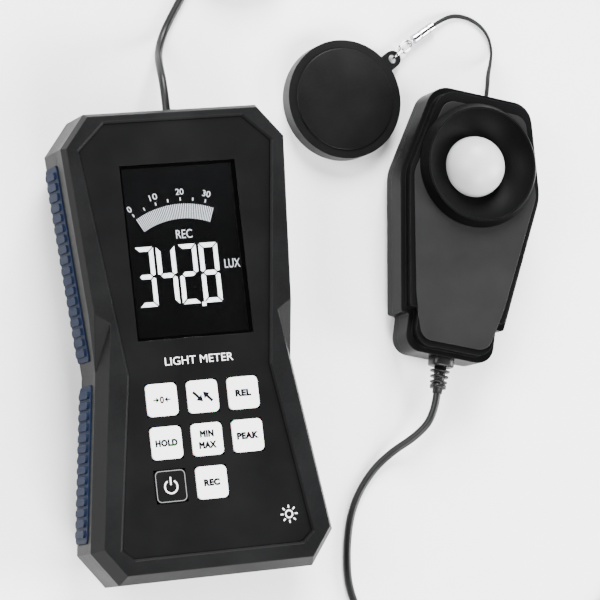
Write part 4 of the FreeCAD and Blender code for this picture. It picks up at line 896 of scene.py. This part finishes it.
# Where the head lies, and where the sleeve starts in the head's own frame: these two are in metres.
HEAD_ORIGIN = Vector((0.1185, 0.0555, 0.0))
RELIEF_START = Vector((0, -0.070, 0.011))
HEAD_TURN = math.radians(-15.0)
RELIEF_ROOT = 3.0
RELIEF_FILLET = 0.35
CORE = [(2.6, 2.3), (6.0, 2.1), (12.7, 1.75)]   # distance along the sleeve, and the core's radius
RELIEF_FINS = 4
FIN_PITCH = 2.0
FIN_THICK, FIN_RADIUS = 0.8, 3.4
FIN_TAPER = 0.2         # how much smaller each fin is than the one before it
END_THICK, END_RADIUS = 1.6, 2.8
FIN_EDGE = 0.25         # how much smaller a fin's two faces are than its rim
FIN_ROUND = 0.15        # length over which a fin grows to its rim
WEB_RADIUS = 0.75
WEB_RISE = 2.0
WEB_SPAN = (2.8, 10.8)
SEAM_START, SEAM_END = (107.43, 105.80), (115.20, 110.20)
SEAM_WIDE = 0.28


def rounded_loop(half_wide, half_tall, squareness, count=40):
    """Corner points of a rounded loop: squareness 2 is an ellipse, more is closer to a rectangle."""
    points = []
    for step in range(count):
        angle = step / count * FULL_TURN
        across, up = math.cos(angle), math.sin(angle)
        points.append((
            half_wide * math.copysign(abs(across) ** (2 / squareness), across),
            half_tall * math.copysign(abs(up) ** (2 / squareness), up)))
    return points


def section(along, half_wide, half_tall, squareness, rise=0.0):
    """Loop for a loft, in metres: how far along -Y it stands, and its (across, up) points."""
    loop = rounded_loop(half_wide, half_tall, squareness)
    return along * MM, [(across * MM, (rise + up) * MM) for across, up in loop]


def loft(shape, sections):
    """Closed skin over a row of sections."""
    rings = []
    for distance, loop in sections:
        rings.append([shape.verts.new((across, -distance, up)) for across, up in loop])
    for near, far in zip(rings, rings[1:]):
        bridge(shape, near, far)
    shape.faces.new(rings[0])
    shape.faces.new(rings[-1][::-1])


def add_relief_root(shape):
    """Squarish block against the head, rounded over at its far end."""
    fillet, end = RELIEF_FILLET, RELIEF_ROOT
    # Distance along the sleeve, half width and half height.
    sizes = [
        (-0.4, 4.3, 3.9), (0.0, 4.4, 4.0), (end - 2 * fillet, 4.4, 4.0), (end - fillet / 2, 4.25, 3.85),
        (end, 3.9, 3.5),
    ]
    loft(shape, [section(along, wide, tall, squareness=3.2) for along, wide, tall in sizes])


def add_relief_fins(shape):
    """Thin fins that get smaller, and a thicker ring at the end."""
    for fin in range(RELIEF_FINS):
        last = fin == RELIEF_FINS - 1
        far = RELIEF_ROOT + (fin + 1) * FIN_PITCH
        near = far - (END_THICK if last else FIN_THICK)
        rim = END_RADIUS if last else FIN_RADIUS - FIN_TAPER * fin
        edge = rim - FIN_EDGE
        sizes = [(near, edge), (near + FIN_ROUND, rim), (far - FIN_ROUND, rim), (far, edge)]
        loft(shape, [section(along, radius, radius, squareness=2.6) for along, radius in sizes])


def make_strain_relief():
    """Moulded sleeve at the cable's exit: root, tapering core, fins, and a web above and below them."""
    shape = bmesh.new()
    add_relief_root(shape)
    loft(shape, [section(along, radius, radius, squareness=2) for along, radius in CORE])
    add_relief_fins(shape)
    for rise in (-WEB_RISE, WEB_RISE):
        loft(shape, [section(along, WEB_RADIUS, WEB_RADIUS, squareness=3, rise=rise) for along in WEB_SPAN])
    head = Matrix.Translation(HEAD_ORIGIN) @ Matrix.Rotation(HEAD_TURN, 4, "Z")
    shape.transform(head @ Matrix.Translation(RELIEF_START))
    relief = piece_from(shape, "relief_sleeve", CABLE_RUBBER, "root")
    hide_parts("strain_relief")


def make_crimp_seam():
    """Painted shade: black strip for the slot where the crimp's folded metal meets, along its upper side."""
    sunk = 0.02 * MM
    layer = Layer(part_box("lanyard_crimp")[1].z - sunk, 2 * sunk, "root")
    plates("crimp_seam_painted_shade", [bar(SEAM_START, SEAM_END, SEAM_WIDE)], layer, SHADOW)


# ---------------------------------------------------------------- the scene

make_camera()
make_lights()
dress_nodes()
make_floor()
make_cable()
make_lanyard()
make_display()
make_key_legends()
make_zero_sign()
make_range_sign()
make_power_printing()
make_label_printing()
make_strain_relief()
make_crimp_seam()
